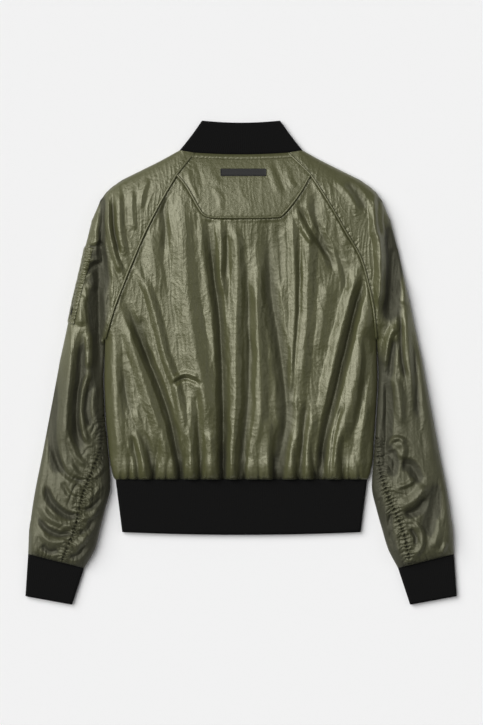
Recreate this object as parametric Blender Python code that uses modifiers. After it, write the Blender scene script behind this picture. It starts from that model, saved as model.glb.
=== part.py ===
"""A light nylon bomber jacket laid flat on its front, back upward.

Millimetres in the tables, metres in the meshes. The collar points along +Y, the hem along -Y and the
wearer's left is at -X. The underside lies on z = 0. Every cloth piece is an open surface, the outside
of the cloth, which Solidify thickens inward. Upper pieces curl round the folded edges and meet the
lower pieces under the curl.
"""

import math
from collections import namedtuple

import bmesh
import bpy
from mathutils import Vector

MM = 0.001
CLOTH = 1.0  # wall of the nylon pieces
RIB = 2.5  # wall of the knitted bands
SEAM = 0.3  # gap between pieces that are sewn together
RIB_TOP = 10.0  # height of a knitted band lying flat, both layers
FOLD_HIGH = 8.0  # height at which the folded edge of the cloth is widest
FOLD_CURL = 9.0  # how far under itself a folded edge curls
FOLD_REACH = 45.0  # distance over which the cloth rises from a folded edge
BAND_FOLD = 5.0  # the same three, where the cloth runs into a band
BAND_CURL = 5.0
BAND_REACH = 6.0
SLEEVE_CROWN = 28.0  # height of the upper layer over the sleeves
BODY_CROWN = 10.0  # how much higher the middle of the body stands
CROWN_WIDTH = 150.0
HEM_BULGE = 35.0  # distance over which gathered cloth rises from a band
COLLAR_EASE = 120.0  # the same at the collar, where nothing is gathered
UNDER_ANGLE = math.radians(38)  # how far round its curl an upper piece ends
LOWER_ANGLE = math.radians(42)  # and where the lower piece begins
WEDGE_TIP = 1.0  # gap between the wedge's upper end and the sleeve
CROTCH_GAP = math.radians(5)  # extra room where four seams meet under the arm

HEM_Y = -198.5
HEM_DEPTH = 89.6
HEM_BOW = 4.6
HEM_HALF = (214.5, 203.3)  # half width of the hem band at its seam and at its free edge
HEM_MIDDLE = 0.6
CROTCH_Y = 38.0
CROTCH_RUN = 40.0  # distance below the underarm over which the folded edges begin
COLLAR_Y = 358.2
COLLAR_HALF = 80.0  # half width of the collar seam between the raglan seams
COLLAR_DIP = 3.0
COLLAR_CORNER = (105.0, 362.4)
COLLAR_TOP = (66.8, 412.9)
COLLAR_TOP_DIP = 3.6
COLLAR_STRAIGHT = 0.04  # share of its height over which the collar's sides run straight up
FRONT_DROP = 25.0  # how much lower the collar sits at the front
YOKE_TIP_Y = 320.0
CUFF_TOP_IN = (267.4, -349.3)
CUFF_TOP_OUT = (363.0, -325.6)
CUFF_END_IN = (288.0, -411.7)
CUFF_END_OUT = (367.7, -397.2)

NECK_SHARES = (0.28, 0.58, 0.88)  # columns that the fronts and the collar share along the neck
ZIP_HALF = 5.3  # half width of the opening between the fronts
ZIP_RAMP = (16.0, 24.0)  # the fronts rise to the zip between these distances from it
FRONT_LIFT = 3.0
RIB_LIFT = 1.5

EdgeRow = namedtuple("EdgeRow", "y left right")
SleeveRow = namedtuple("SleeveRow", "outer_y inner_y steps")
Fold = namedtuple("Fold", "x0 y0 x1 y1 x2 y2 width height")

SILHOUETTE = [
    EdgeRow(362.4, 105, 105),
    EdgeRow(345, 136, 136),
    EdgeRow(328, 170, 170),
    EdgeRow(311, 203, 203),
    EdgeRow(294, 226, 226),
    EdgeRow(277, 239.5, 239.5),
    EdgeRow(243, 254, 254),
    EdgeRow(192, 267.5, 267.5),
    EdgeRow(107, 287, 287),
    EdgeRow(5, 308.5, 308.5),
    EdgeRow(-130, 333.5, 333.5),
    EdgeRow(-266, 358, 358),
    EdgeRow(-325.6, 363, 363),
]
RAGLAN = [
    EdgeRow(358.2, 80, 80),
    EdgeRow(320, 109.5, 118),
    EdgeRow(272, 137, 149),
    EdgeRow(226, 161, 176),
    EdgeRow(179, 181.5, 203),
    EdgeRow(130, 201, 217),
    EdgeRow(92, 216, 225),
    EdgeRow(38, 232, 231),
]
BODY_EDGE = [
    EdgeRow(38, 232, 231),
    EdgeRow(-32, 233, 232.5),
    EdgeRow(-95, 230.5, 229),
    EdgeRow(-132, 227, 226.5),
    EdgeRow(-173, 222.5, 223.5),
    EdgeRow(-198.5, 214, 215.2),
]
SLEEVE_INNER = [
    EdgeRow(38, 232, 231),
    EdgeRow(0, 234, 233.5),
    EdgeRow(-32, 234.6, 234),
    EdgeRow(-95, 232, 230.6),
    EdgeRow(-132, 228.6, 228.2),
    EdgeRow(-173, 224.5, 225.2),
    EdgeRow(-215, 223, 223),
    EdgeRow(-250, 232, 231),
    EdgeRow(-284, 240.5, 240.5),
    EdgeRow(-318, 249.5, 251),
    EdgeRow(-349.3, 267.4, 267.4),
]
ELBOW_SEAM_LEFT = [
    EdgeRow(-92, 235.5, 0),
    EdgeRow(-144, 237.5, 0),
    EdgeRow(-180, 251, 0),
    EdgeRow(-222, 268, 0),
    EdgeRow(-285, 283, 0),
    EdgeRow(-339.8, 305.5, 0),
]
ELBOW_SEAM_RIGHT = [
    EdgeRow(-131, 0, 232),
    EdgeRow(-181, 0, 237),
    EdgeRow(-227, 0, 251),
    EdgeRow(-261, 0, 266),
    EdgeRow(-292, 0, 278),
    EdgeRow(-344, 0, 289),
]
SLEEVE_ROWS_LEFT = [
    SleeveRow(362.4, 358.2, 1),
    SleeveRow(350, 348.8, 2),
    SleeveRow(328, 320, 6),
    SleeveRow(199, 178, 5),
    SleeveRow(68, 38, 5),
    SleeveRow(-66, -88, 1),
    SleeveRow(-70, -92, 7),
    SleeveRow(-325.6, -339.8, 0),
]
SLEEVE_ROWS_RIGHT = [
    SleeveRow(362.4, 358.2, 1),
    SleeveRow(350, 348.8, 2),
    SleeveRow(328, 320, 6),
    SleeveRow(199, 178, 5),
    SleeveRow(68, 38, 6),
    SleeveRow(-105, -127, 1),
    SleeveRow(-109, -131, 6),
    SleeveRow(-325.6, -344, 0),
]
YOKE_STEPS = 24
YOKE_LINE = [
    (-93, 300),
    (-72.5, 264),
    (-63, 251.5),
    (-48, 247),
    (3, 246.2),
    (57, 247.6),
    (72.5, 253.5),
    (99, 287),
]
FOLDS = [
    Fold(-113, 226, -97, 60, -86, -20, 14, 5.5),
    Fold(-179, 162, -149, 94, -115, -40, 13, 4.5),
    Fold(-82, 226, -74, 97, -50, 14, 11, -4.0),
    Fold(-47, 172, -36, 60, -31, -160, 11, -4.5),
    Fold(23, 172, 23, 60, 25, -60, 13, 3.5),
    Fold(35, 226, 62, -32, 52, -160, 12, -4.5),
    Fold(95, 190, 91, 79, 86, -40, 12, 4.0),
    Fold(200, 175, 166, 82, 149, 28, 12, 4.0),
    Fold(201, 160, 157, -50, 127, -160, 12, -4.5),
    Fold(206, 140, 181, -51, 149, -150, 13, 5.0),
    Fold(-190, 30, -160, -60, -140, -160, 13, -4.5),
    Fold(-200, 250, -232, 200, -225, 150, 10, -4.0),
    Fold(-262, 60, -280, -40, -300, -130, 12, 3.5),
    Fold(-262, -120, -290, -190, -330, -250, 11, -3.5),
    Fold(228, 262, 240, 190, 245, 110, 11, -4.0),
    Fold(262, 60, 280, -40, 305, -130, 12, 3.5),
    Fold(255, -120, 285, -200, 325, -260, 11, -3.5),
]

LABEL_SIZE = (78.0, 13.0, 1.0)
LABEL_AT = (4.0, 324.0)
PIPING_RADIUS = 1.3
POCKET_ROWS = (9, 14)  # rows of the left sleeve that the pocket covers
POCKET_GAP = 0.05  # share of a column left free between the pocket and its placket
SLIDER = (9.2, 11.0)
SLIDER_Y = 377.0
CHAIN_HALF = 3.0
CHAIN_Z = (3.5, 5.9)
TAPE_X = (3.3, 14.0)
TAPE_Z = (4.3, 5.1)
PULL_AXIS_Z = 1.2
SLIDER_Z = (2.4, 7.2)
POST_Y = 377.5
POST_HALF = 1.2
CHANNEL_HALF = 3.6  # room for the chain inside the slider
TAPE_ROOM = 0.4
BOSS = (1.0, 1.2, 0.6)
PIN_HALF = 2.6
PIN_RADIUS = 0.3
EYE_RADIUS = 0.55
PULL_HALF = 2.8
PULL_THICK = 1.8
FORK = (1.3, 2.4)
WINDOW_HALF = 1.5
WINDOW_Y = (-20, -8)
POCKET_PULL_LIFT = 3.2
POCKET_PULL_RADIUS = 0.9
PULL_LENGTH = 24.0


def rise(t):
    """Height of a quarter circle, 0 at t = 0 and 1 from t = 1 on."""
    t = max(0.0, min(t, 1.0))
    return math.sqrt(1 - (1 - t) ** 2)


def ease(t):
    t = max(0.0, min(t, 1.0))
    return t * (2 - t)


def smooth_line(points, t):
    """Point at t, counted in spans, on the Catmull-Rom curve through the points."""
    i = max(0, min(int(t), len(points) - 2))
    f = t - i
    p1, p2 = Vector(points[i]), Vector(points[i + 1])
    p0 = Vector(points[i - 1]) if i else p1 * 2 - p2
    p3 = Vector(points[i + 2]) if i + 2 < len(points) else p2 * 2 - p1
    bend = p0 * 2 - p1 * 5 + p2 * 4 - p3
    return (p1 * 2 + (p2 - p0) * f + bend * f * f + (p1 * 3 - p0 - p2 * 3 + p3) * f**3) / 2


def even_line(points, t):
    """Point at the share t of the length of the smooth curve through the points."""
    spans = len(points) - 1
    line = [smooth_line(points, spans * i / 120) for i in range(121)]
    lengths = [0.0]
    for a, b in zip(line, line[1:]):
        lengths.append(lengths[-1] + (b - a).length)
    goal = t * lengths[-1]
    for i in range(120):
        if goal <= lengths[i + 1] + 1e-9:
            return line[i].lerp(line[i + 1], (goal - lengths[i]) / (lengths[i + 1] - lengths[i]))
    return line[-1]


def edge_x(table, side, y):
    """Distance from the middle of the jacket of an edge at height y."""
    values = [row.left if side < 0 else row.right for row in table]
    for i in range(len(table) - 1):
        if y >= table[i + 1].y or i == len(table) - 2:
            share = (table[i].y - y) / (table[i].y - table[i + 1].y)
            points = [(row.y, x) for row, x in zip(table, values)]
            return smooth_line(points, i + max(0.0, min(share, 1.0))).y
    return values[-1]


def edge_point(table, side, y):
    return Vector((side * edge_x(table, side, y), y))


def edge_line(table, side, steps):
    top, bottom = table[0].y, table[-1].y
    return [edge_point(table, side, top + (bottom - top) * i / steps) for i in range(steps + 1)]


def span_distance(p, a, b):
    run = b - a
    share = max(0.0, min((p - a).dot(run) / run.length_squared, 1.0))
    return (p - a - run * share).length


def distance(p, line):
    return min(span_distance(p, a, b) for a, b in zip(line, line[1:]))


def collar_seam_y(x):
    inner = COLLAR_DIP * max(0.0, 1 - (x / COLLAR_HALF) ** 2)
    slope = (COLLAR_CORNER[1] - COLLAR_Y) / (COLLAR_CORNER[0] - COLLAR_HALF)
    return COLLAR_Y - inner + slope * max(0.0, abs(x) - COLLAR_HALF)


def front_drop(x):
    return FRONT_DROP * max(0.0, 1 - (x / COLLAR_HALF) ** 2) ** 2


OUTLINES = {side: edge_line(SILHOUETTE, side, 40) for side in (-1, 1)}
BODY_SIDES = {side: edge_line(BODY_EDGE, side, 16) for side in (-1, 1)}
INNER_SIDES = {side: edge_line(SLEEVE_INNER, side, 24) for side in (-1, 1)}
ELBOW_SEAMS = {-1: ELBOW_SEAM_LEFT, 1: ELBOW_SEAM_RIGHT}
SLEEVE_ROWS = {-1: SLEEVE_ROWS_LEFT, 1: SLEEVE_ROWS_RIGHT}


class Region:
    """The body or one sleeve: where its folds and its bands are, and how high it stands."""

    def __init__(self, outlines, bands):
        self.outlines = outlines
        self.bands = bands

    def share(self, p):
        """0 at a band, 1 well away from every band."""
        collar = ease((collar_seam_y(p.x) - p.y) / 80)
        band = min(distance(p, line) for line in self.bands)
        return min(collar, rise(band / 60))

    def fold(self, p):
        return BAND_FOLD + (FOLD_HIGH - BAND_FOLD) * self.share(p)

    def curl(self, p):
        return BAND_CURL + (FOLD_CURL - BAND_CURL) * self.share(p)

    def top(self, p):
        reach = BAND_REACH + (FOLD_REACH - BAND_REACH) * self.share(p)
        crown = SLEEVE_CROWN + BODY_CROWN * math.exp(-((p.x / CROWN_WIDTH) ** 2))
        band = min(distance(p, line) for line in self.bands)
        bulge = ease((collar_seam_y(p.x) - p.y) / COLLAR_EASE) * rise(band / HEM_BULGE)
        plateau = RIB_TOP + (crown - RIB_TOP) * bulge
        rises = 1.0
        for line in self.outlines:
            rises *= rise(distance(p, line) / reach)
        fold = self.fold(p)
        return fold + (plateau - fold + crease_height(p) * bulge) * rises

    def under(self, p):
        near = min(distance(p, line) for line in self.outlines)
        return self.fold(p) * (1 - rise(near / self.curl(p)))


def crease_height(p):
    height = 0.0
    for fold in FOLDS:
        line = [Vector((fold.x0, fold.y0)), Vector((fold.x1, fold.y1)), Vector((fold.x2, fold.y2))]
        height += fold.height * math.exp(-((distance(p, line) / fold.width) ** 2))
    return height


HEM_LINE = [Vector((HEM_MIDDLE - HEM_HALF[0], HEM_Y)), Vector((HEM_MIDDLE + HEM_HALF[0], HEM_Y))]
BODY = Region(
    [OUTLINES[-1], OUTLINES[1], BODY_SIDES[-1], BODY_SIDES[1]],
    [HEM_LINE],
)
SLEEVES = {
    side: Region(
        [OUTLINES[side], INNER_SIDES[side]],
        [[Vector((side * x, y)) for x, y in (CUFF_TOP_OUT, CUFF_TOP_IN)]],
    )
    for side in (-1, 1)
}


def steps_between(keys):
    """Heights from one key to the next, with the steps that each key gives."""
    heights = []
    for (start, steps), (end, _) in zip(keys, keys[1:]):
        heights += [start + (end - start) * i / steps for i in range(steps)]
    return heights + [keys[-1][0]]


def outer_points(side):
    keys = [(row.outer_y, row.steps) for row in SLEEVE_ROWS[side]]
    return [edge_point(SILHOUETTE, side, y) for y in steps_between(keys)]


def inner_heights(side):
    return steps_between([(row.inner_y, row.steps) for row in SLEEVE_ROWS[side]])


def crotch_row(side):
    return sum(row.steps for row in SLEEVE_ROWS[side][:4])


def elbow_row(side):
    return sum(row.steps for row in SLEEVE_ROWS[side][:5])


def raglan_points(side):
    """The raglan seam from the collar to the underarm, at the rows of the sleeve."""
    return [edge_point(RAGLAN, side, y) for y in inner_heights(side)[: crotch_row(side) + 1]]


def side_points(side, steps=8):
    heights = [CROTCH_Y + (HEM_Y - CROTCH_Y) * i / steps for i in range(1, steps + 1)]
    return [edge_point(BODY_EDGE, side, y) for y in heights]


def coons(top, bottom, left, right, shares):
    """Grid of plan points between four edges; top and bottom are functions of the share across."""
    corners = (left[0], right[0], left[-1], right[-1])
    drop = left[0].y - left[-1].y
    grid = []
    for a, b in zip(left, right):
        v = (left[0].y - a.y) / drop
        row = []
        for u in shares:
            across = top(u) * (1 - v) + bottom(u) * v
            down = a * (1 - u) + b * u
            upper = corners[0] * (1 - u) + corners[1] * u
            lower = corners[2] * (1 - u) + corners[3] * u
            row.append(across + down - upper * (1 - v) - lower * v)
        grid.append(row)
    return grid


def straight(a, b):
    return lambda u: a.lerp(b, u)


def ruled(left, right, shares):
    return [[a.lerp(b, u) for u in shares] for a, b in zip(left, right)]


def inward(grid, i, j, di, dj):
    """Unit vector at a point of an edge, square to the edge and toward the inside."""
    rows, cols = len(grid), len(grid[0])
    if di:
        run = grid[i][min(j + 1, cols - 1)] - grid[i][max(j - 1, 0)]
    else:
        run = grid[min(i + 1, rows - 1)][j] - grid[max(i - 1, 0)][j]
    normal = Vector((-run.y, run.x)).normalized()
    toward = grid[i + di][j + dj] - grid[i][j]
    return normal if normal.dot(toward) > 0 else -normal


def inset(grid, sides):
    """The grid with the named edges moved in by half a seam's gap."""
    rows, cols = len(grid), len(grid[0])
    moved = [[point.copy() for point in row] for row in grid]
    for i in range(rows):
        for j in range(cols):
            if "top" in sides and i == 0:
                moved[i][j] += inward(grid, i, j, 1, 0) * SEAM / 2
            if "bottom" in sides and i == rows - 1:
                moved[i][j] += inward(grid, i, j, -1, 0) * SEAM / 2
            if sides.get("left", lambda row: False)(i) and j == 0:
                moved[i][j] += inward(grid, i, j, 0, 1) * SEAM / 2
            if sides.get("right", lambda row: False)(i) and j == cols - 1:
                moved[i][j] += inward(grid, i, j, 0, -1) * SEAM / 2
    return moved


def always(row):
    return True


def lift(region, grid, height):
    return [[Vector((p.x, p.y, height(region, p))) for p in row] for row in grid]


def curl_point(region, p, normal, angle):
    """Point of a folded edge at an angle below its widest line."""
    fold, curl = region.fold(p), region.curl(p)
    plan = p + normal * curl * (1 - math.cos(angle))
    return Vector((plan.x, plan.y, fold * (1 - math.sin(angle))))


def curls(region, grid, column, share):
    """Two points for each row that carry an upper piece round its folded edge."""
    j, step = (0, 1) if column == "left" else (len(grid[0]) - 1, -1)
    points = []
    for i in range(len(grid)):
        p = grid[i][j]
        normal = inward(grid, i, j, 0, step)
        angles = [UNDER_ANGLE * share(i) * part for part in (0.85, 1.0)]
        points.append([curl_point(region, p, normal, angle) for angle in angles])
    return points


def near_crotch(y):
    """0 at the underarm, where folded edges begin, and 1 from CROTCH_RUN below it."""
    return max(0.0, min((CROTCH_Y - y) / CROTCH_RUN, 1.0))


def mesh_object(name, rows, up, closed=False, skip=()):
    """Mesh of a grid of points in millimetres, facing up (or out); doubled points are welded."""
    mesh = bpy.data.meshes.new(name)
    bm = bmesh.new()
    verts = [[bm.verts.new(Vector(p) * MM) for p in row] for row in rows]
    cols = len(rows[0])
    for i, (a, b) in enumerate(zip(verts, verts[1:])):
        for j in range(cols if closed else cols - 1):
            if (i, j) in skip:
                continue
            k = (j + 1) % cols
            quad = (a[j], b[j], b[k], a[k])
            bm.faces.new(quad if up else quad[::-1])
    bmesh.ops.remove_doubles(bm, verts=bm.verts, dist=1e-6)
    loose = [vert for vert in bm.verts if not vert.link_faces]
    bmesh.ops.delete(bm, geom=loose, context="VERTS")
    bm.to_mesh(mesh)
    bm.free()
    mesh.shade_smooth()
    obj = bpy.data.objects.new(name, mesh)
    PARTS.objects.link(obj)
    return obj


def thicken(obj, wall):
    solidify = obj.modifiers.new("wall", "SOLIDIFY")
    solidify.thickness = wall * MM
    solidify.offset = -1
    solidify.use_even_offset = True
    return obj


def material(name, color, roughness, metallic=0.0):
    made = bpy.data.materials.new(name)
    made.use_nodes = True
    shader = made.node_tree.nodes["Principled BSDF"]
    shader.inputs["Base Color"].default_value = (*color, 1)
    shader.inputs["Roughness"].default_value = roughness
    shader.inputs["Metallic"].default_value = metallic
    return made


NYLON = ((0.085, 0.088, 0.040), 0.38)
KNIT = ((0.010, 0.010, 0.010), 0.92)
TAPE = ((0.012, 0.012, 0.012), 0.8)
PATCH = ((0.020, 0.020, 0.020), 0.6)
METAL = ((0.030, 0.030, 0.030), 0.35, 0.9)


def paint(obj, look):
    obj.data.materials.append(material(obj.name + "_look", *look))
    return obj


def cloth(name, rows, up=True, skip=()):
    return paint(thicken(mesh_object(name, rows, up, skip=skip), CLOTH), NYLON)


def shares_with(ends, steps):
    """Even shares from 0 to 1, with the extra ones close to each end."""
    inner = [i / steps for i in range(1, steps)]
    return [0.0, *ends, *inner, *[1 - e for e in reversed(ends)], 1.0]


def yoke_curve():
    left = edge_point(RAGLAN, -1, YOKE_TIP_Y)
    right = edge_point(RAGLAN, 1, YOKE_TIP_Y)
    points = [tuple(left), *YOKE_LINE, tuple(right)]
    return lambda u: even_line(points, u)


def dipped(a, b, dip):
    """Line from a to b that hangs lower in the middle."""
    return lambda u: a.lerp(b, u) - Vector((0, dip * (1 - (2 * u - 1) ** 2)))


def back_panel():
    raglan = {side: raglan_points(side)[3:] + side_points(side) for side in (-1, 1)}
    shares = shares_with((0.005,), YOKE_STEPS)
    hem = straight(raglan[-1][-1], raglan[1][-1])
    grid = coons(yoke_curve(), hem, raglan[-1], raglan[1], shares)
    crotch = crotch_row(-1) - 3

    def on_raglan(row):
        return row <= crotch

    def curl_share(row):
        return near_crotch(raglan[-1][row].y) if row > crotch else 0.0

    grid = inset(grid, {"top": True, "bottom": True, "left": on_raglan, "right": on_raglan})
    rows = lift(BODY, grid, Region.top)
    left = curls(BODY, grid, "left", curl_share)
    right = curls(BODY, grid, "right", curl_share)
    for i in range(crotch + 1):
        left[i] = [rows[i][0]] * 2
        right[i] = [rows[i][-1]] * 2
    return cloth("back_panel", [a[::-1] + row + b for a, row, b in zip(left, rows, right)])


def back_yoke():
    sides = {side: raglan_points(side)[1:4] for side in (-1, 1)}
    top = dipped(sides[-1][0], sides[1][0], COLLAR_DIP)
    grid = coons(top, yoke_curve(), sides[-1], sides[1], shares_with((0.005,), YOKE_STEPS))
    grid = with_middle_rows(grid)
    grid = inset(grid, {"top": True, "bottom": True, "left": always, "right": always})
    return cloth("back_yoke", lift(BODY, grid, Region.top))


def with_middle_rows(grid):
    """The grid with one more row halfway down its last span, which is the tall one."""
    middle = [a.lerp(b, 0.5) for a, b in zip(grid[-2], grid[-1])]
    return grid[:-1] + [middle] + grid[-1:]


def neck_band():
    sides = {side: raglan_points(side)[:2] for side in (-1, 1)}
    shares = [i / 12 for i in range(13)]
    top = [dipped(sides[-1][0], sides[1][0], COLLAR_DIP)(u) for u in shares]
    bottom = [dipped(sides[-1][1], sides[1][1], COLLAR_DIP)(u) for u in shares]
    grid = inset([top, bottom], {"top": True, "bottom": True, "left": always, "right": always})
    return cloth("neck_band", lift(BODY, grid, Region.top))


def sleeve_inner_points(side):
    """Inner edge of the upper sleeve piece: raglan seam, folded edge, then elbow seam."""
    heights = inner_heights(side)
    crotch, elbow = crotch_row(side), elbow_row(side)
    points = [edge_point(RAGLAN, side, y) for y in heights[: crotch + 1]]
    points += [edge_point(SLEEVE_INNER, side, y) for y in heights[crotch + 1 : elbow + 1]]
    return points + [edge_point(ELBOW_SEAMS[side], side, y) for y in heights[elbow + 1 :]]


def fold_points(side):
    """Folded inner edge of the sleeve beside the wedge, down to the cuff."""
    first, start = inner_heights(side)[elbow_row(side) :][:2]
    steps = len(inner_heights(side)) - 2 - elbow_row(side)
    heights = steps_between([(first, 1), (start, steps), (SLEEVE_INNER[-1].y, 0)])
    return [edge_point(SLEEVE_INNER, side, y) for y in heights]


SLEEVE_SHARES = [0.0, 0.07, 0.235, 0.42, 0.6, 0.78, 0.93, 0.985, 1.0]


def sleeve_back_grid(side):
    grid = ruled(outer_points(side), sleeve_inner_points(side), SLEEVE_SHARES)
    crotch, elbow = crotch_row(side), elbow_row(side)
    seams = {"top": True, "bottom": True, "right": lambda row: row <= crotch or row > elbow}
    return inset(grid, seams)


def sleeve_back(side, name):
    region = SLEEVES[side]
    grid = sleeve_back_grid(side)
    crotch, elbow = crotch_row(side), elbow_row(side)

    def inner_share(row):
        return near_crotch(grid[row][-1].y) if crotch < row <= elbow else 0.0

    rows = lift(region, grid, Region.top)
    outer = curls(region, grid, "left", lambda row: 1.0)
    inner = curls(region, grid, "right", inner_share)
    for i in range(len(rows)):
        if not crotch < i <= elbow:
            inner[i] = [rows[i][-1]] * 2
    rows = [a[::-1] + row + b for a, row, b in zip(outer, rows, inner)]
    last = len(rows[0]) - 1
    return cloth(name, rows, up=side < 0, skip=[(elbow, last - 1), (elbow, last - 2)])


def undersleeve(side, name):
    region = SLEEVES[side]
    seam = sleeve_inner_points(side)[elbow_row(side) + 1 :]
    fold = fold_points(side)
    grid = ruled(seam, [fold[0], *fold[2:]], [0.0, 0.33, 0.8, 1.0])
    grid = inset(grid, {"bottom": True, "left": always})
    grid[0] = [p - Vector((0, WEDGE_TIP)) for p in grid[0]]
    rows = lift(region, grid, Region.top)
    curl = curls(region, grid, "right", lambda row: 1.0)
    return cloth(name, [row + b for row, b in zip(rows, curl)], up=side < 0)


def under_edge(region, points, toward, angles):
    """Start of a lower piece under the curl of the upper one, for each point of the folded edge."""
    grid = [[p, q] for p, q in zip(points, toward)]
    return [
        curl_point(region, p, inward(grid, i, 0, 0, 1), angles[i]) for i, p in enumerate(points)
    ]


def lower_angle(share):
    """A lower piece begins this far round the curl, more of it where the curl is whole."""
    return LOWER_ANGLE * share + CROTCH_GAP * (1 - share)


def sleeve_front(side, name):
    region = SLEEVES[side]
    crotch, elbow = crotch_row(side), elbow_row(side)
    outer = outer_points(side)
    inner = sleeve_inner_points(side)[: elbow + 1] + fold_points(side)[1:]
    shares = [0.0, 0.015, 0.12, 0.88, 0.985, 1.0]
    drawn_in = {"top": True, "bottom": True, "right": lambda row: row < crotch}
    grid = inset(ruled(outer, inner, shares), drawn_in)
    rows = lift(region, grid, Region.under)
    outer_now = [row[0] for row in grid]
    inner_now = [row[-1] for row in grid]
    outer_angles = [LOWER_ANGLE] * len(grid)
    inner_angles = [lower_angle(near_crotch(p.y)) for p in inner_now]
    begins = under_edge(region, outer_now, inner_now, outer_angles)
    ends = under_edge(region, inner_now, outer_now, inner_angles)
    for i, row in enumerate(rows):
        row[0] = begins[i]
        row[1] = curled_in(region, outer_now, inner_now, i, LOWER_ANGLE)
        if i >= crotch:
            row[-1] = ends[i]
            row[-2] = curled_in(region, inner_now, outer_now, i, inner_angles[i])
    return cloth(name, rows, up=side > 0)


def curled_in(region, points, toward, i, angle):
    """A point a little further round the curl than the edge of a lower piece."""
    grid = [[p, q] for p, q in zip(points, toward)]
    return curl_point(region, points[i], inward(grid, i, 0, 0, 1), angle + 0.16)


def zip_lift(x, height):
    near, far = ZIP_RAMP
    return height * (1 - max(0.0, min((abs(x) - near) / (far - near), 1.0)))


def front_panel(side, name):
    raglan = raglan_points(side)
    crotch = len(raglan) - 1
    edge = raglan + side_points(side)
    steps = len(edge) - 1
    neck = Vector((side * ZIP_HALF, collar_seam_y(0) - FRONT_DROP))
    centre = [neck.lerp(Vector((neck.x, HEM_Y)), i / steps) for i in range(steps + 1)]

    def top(u):
        x = neck.x + (edge[0].x - neck.x) * u
        return Vector((x, collar_seam_y(x) - front_drop(x)))

    hem = straight(centre[-1], edge[-1])
    grid = coons(top, hem, centre, edge, [0.0, *NECK_SHARES, 0.993, 1.0])
    grid = inset(grid, {"top": True, "bottom": True, "right": lambda row: row < crotch})
    rows = lift(BODY, grid, Region.under)
    edge_now = [row[-1] for row in grid]
    centre_now = [row[0] for row in grid]
    angles = [lower_angle(near_crotch(p.y)) for p in edge_now]
    ends = under_edge(BODY, edge_now, centre_now, angles)
    for i, row in enumerate(rows):
        if i >= crotch:
            row[-1] = ends[i]
            row[-2] = curled_in(BODY, edge_now, centre_now, i, angles[i])
        for point in row[:3]:
            point.z += zip_lift(point.x, FRONT_LIFT)
    return cloth(name, rows, up=side < 0)


def band_section(half, steps_top, steps_arc, under=()):
    """Section (across, height, on_top) of a flattened knitted band, open below where under starts."""
    radius = RIB_TOP / 2
    flat = half - radius
    section = []
    section += [(-x, 0.0, False) for x in under]
    for i in range(steps_arc):
        angle = math.pi * i / steps_arc
        section.append((-flat - radius * math.sin(angle), radius - radius * math.cos(angle), angle > 1))
    section += [(-flat + 2 * flat * i / steps_top, RIB_TOP, True) for i in range(steps_top)]
    for i in range(steps_arc):
        angle = math.pi * i / steps_arc
        section.append((flat + radius * math.sin(angle), radius + radius * math.cos(angle), angle < 2))
    if under:
        return section + [(flat, 0.0, False)] + [(x, 0.0, False) for x in reversed(under)]
    return section + [(flat - 2 * flat * i / steps_top, 0.0, False) for i in range(steps_top)]


def knit(name, rows, closed):
    return paint(thicken(mesh_object(name, rows, up=True, closed=closed), RIB), KNIT)


def hem_rib():
    rows = []
    for v in (0.0, 0.5, 1.0):
        half = HEM_HALF[0] + (HEM_HALF[1] - HEM_HALF[0]) * v
        y = HEM_Y - SEAM / 2 - (HEM_DEPTH - SEAM / 2) * v
        row = []
        for x, z, _ in band_section(half, 8, 6, (ZIP_HALF, *ZIP_RAMP, half / 2)):
            bow = HEM_BOW * v * (1 - (x / half) ** 2)
            lift_now = zip_lift(x, RIB_LIFT) if z < 1e-6 else 0.0
            row.append(Vector((x + HEM_MIDDLE, y - bow, z + lift_now)))
        rows.append(row)
    return knit("hem_rib", rows, closed=False)


def collar():
    rows = []
    for v in (1.0, 0.5, COLLAR_STRAIGHT, 0.0):
        taper = max(0.0, (v - COLLAR_STRAIGHT) / (1 - COLLAR_STRAIGHT))
        half = COLLAR_CORNER[0] + (COLLAR_TOP[0] - COLLAR_CORNER[0]) * taper
        row = []
        neck = [ZIP_HALF + (COLLAR_HALF - ZIP_HALF) * share for share in NECK_SHARES]
        under = [x * half / COLLAR_CORNER[0] for x in (*neck, COLLAR_HALF)]
        for x, z, on_top in band_section(half, 12, 6, (ZIP_HALF, *under)):
            low = collar_seam_y(x) + SEAM
            high = COLLAR_TOP[1] - COLLAR_TOP_DIP * (1 - (x / half) ** 2)
            y = low + (high - low) * v - (0.0 if on_top else front_drop(x))
            lift_now = zip_lift(x, RIB_LIFT) if z < 1e-6 else 0.0
            row.append(Vector((x, y, z + lift_now)))
        rows.append(row)
    return knit("collar", rows, closed=False)


def cuff(side, name):
    top = [Vector(CUFF_TOP_OUT), Vector(CUFF_TOP_IN)]
    end = [Vector(CUFF_END_OUT), Vector(CUFF_END_IN)]
    rows = []
    for v in (0.0, 0.5, 1.0):
        outer, inner = top[0].lerp(end[0], v), top[1].lerp(end[1], v)
        across = (outer - inner).normalized()
        down = Vector((across.y, -across.x))
        centre = (outer + inner) / 2 + down * (SEAM / 2 if v == 0 else 0.0)
        row = []
        for s, z, _ in band_section((outer - inner).length / 2, 3, 6):
            plan = centre + across * s
            row.append(Vector((side * plan.x, plan.y, z)))
        rows.append(row if side > 0 else row[::-1])
    return knit(name, rows, closed=True)


def tube(name, points, radius, look):
    curve = bpy.data.curves.new(name, "CURVE")
    curve.dimensions = "3D"
    curve.bevel_depth = radius * MM
    curve.bevel_resolution = 1
    curve.use_fill_caps = True
    spline = curve.splines.new("POLY")
    spline.points.add(len(points) - 1)
    for point, place in zip(spline.points, points):
        point.co = (*(place * MM), 1)
    obj = bpy.data.objects.new(name, curve)
    PARTS.objects.link(obj)
    return paint(obj, look)


def on_top(region, p, clear):
    return Vector((p.x, p.y, region.top(p) + clear))


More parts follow.
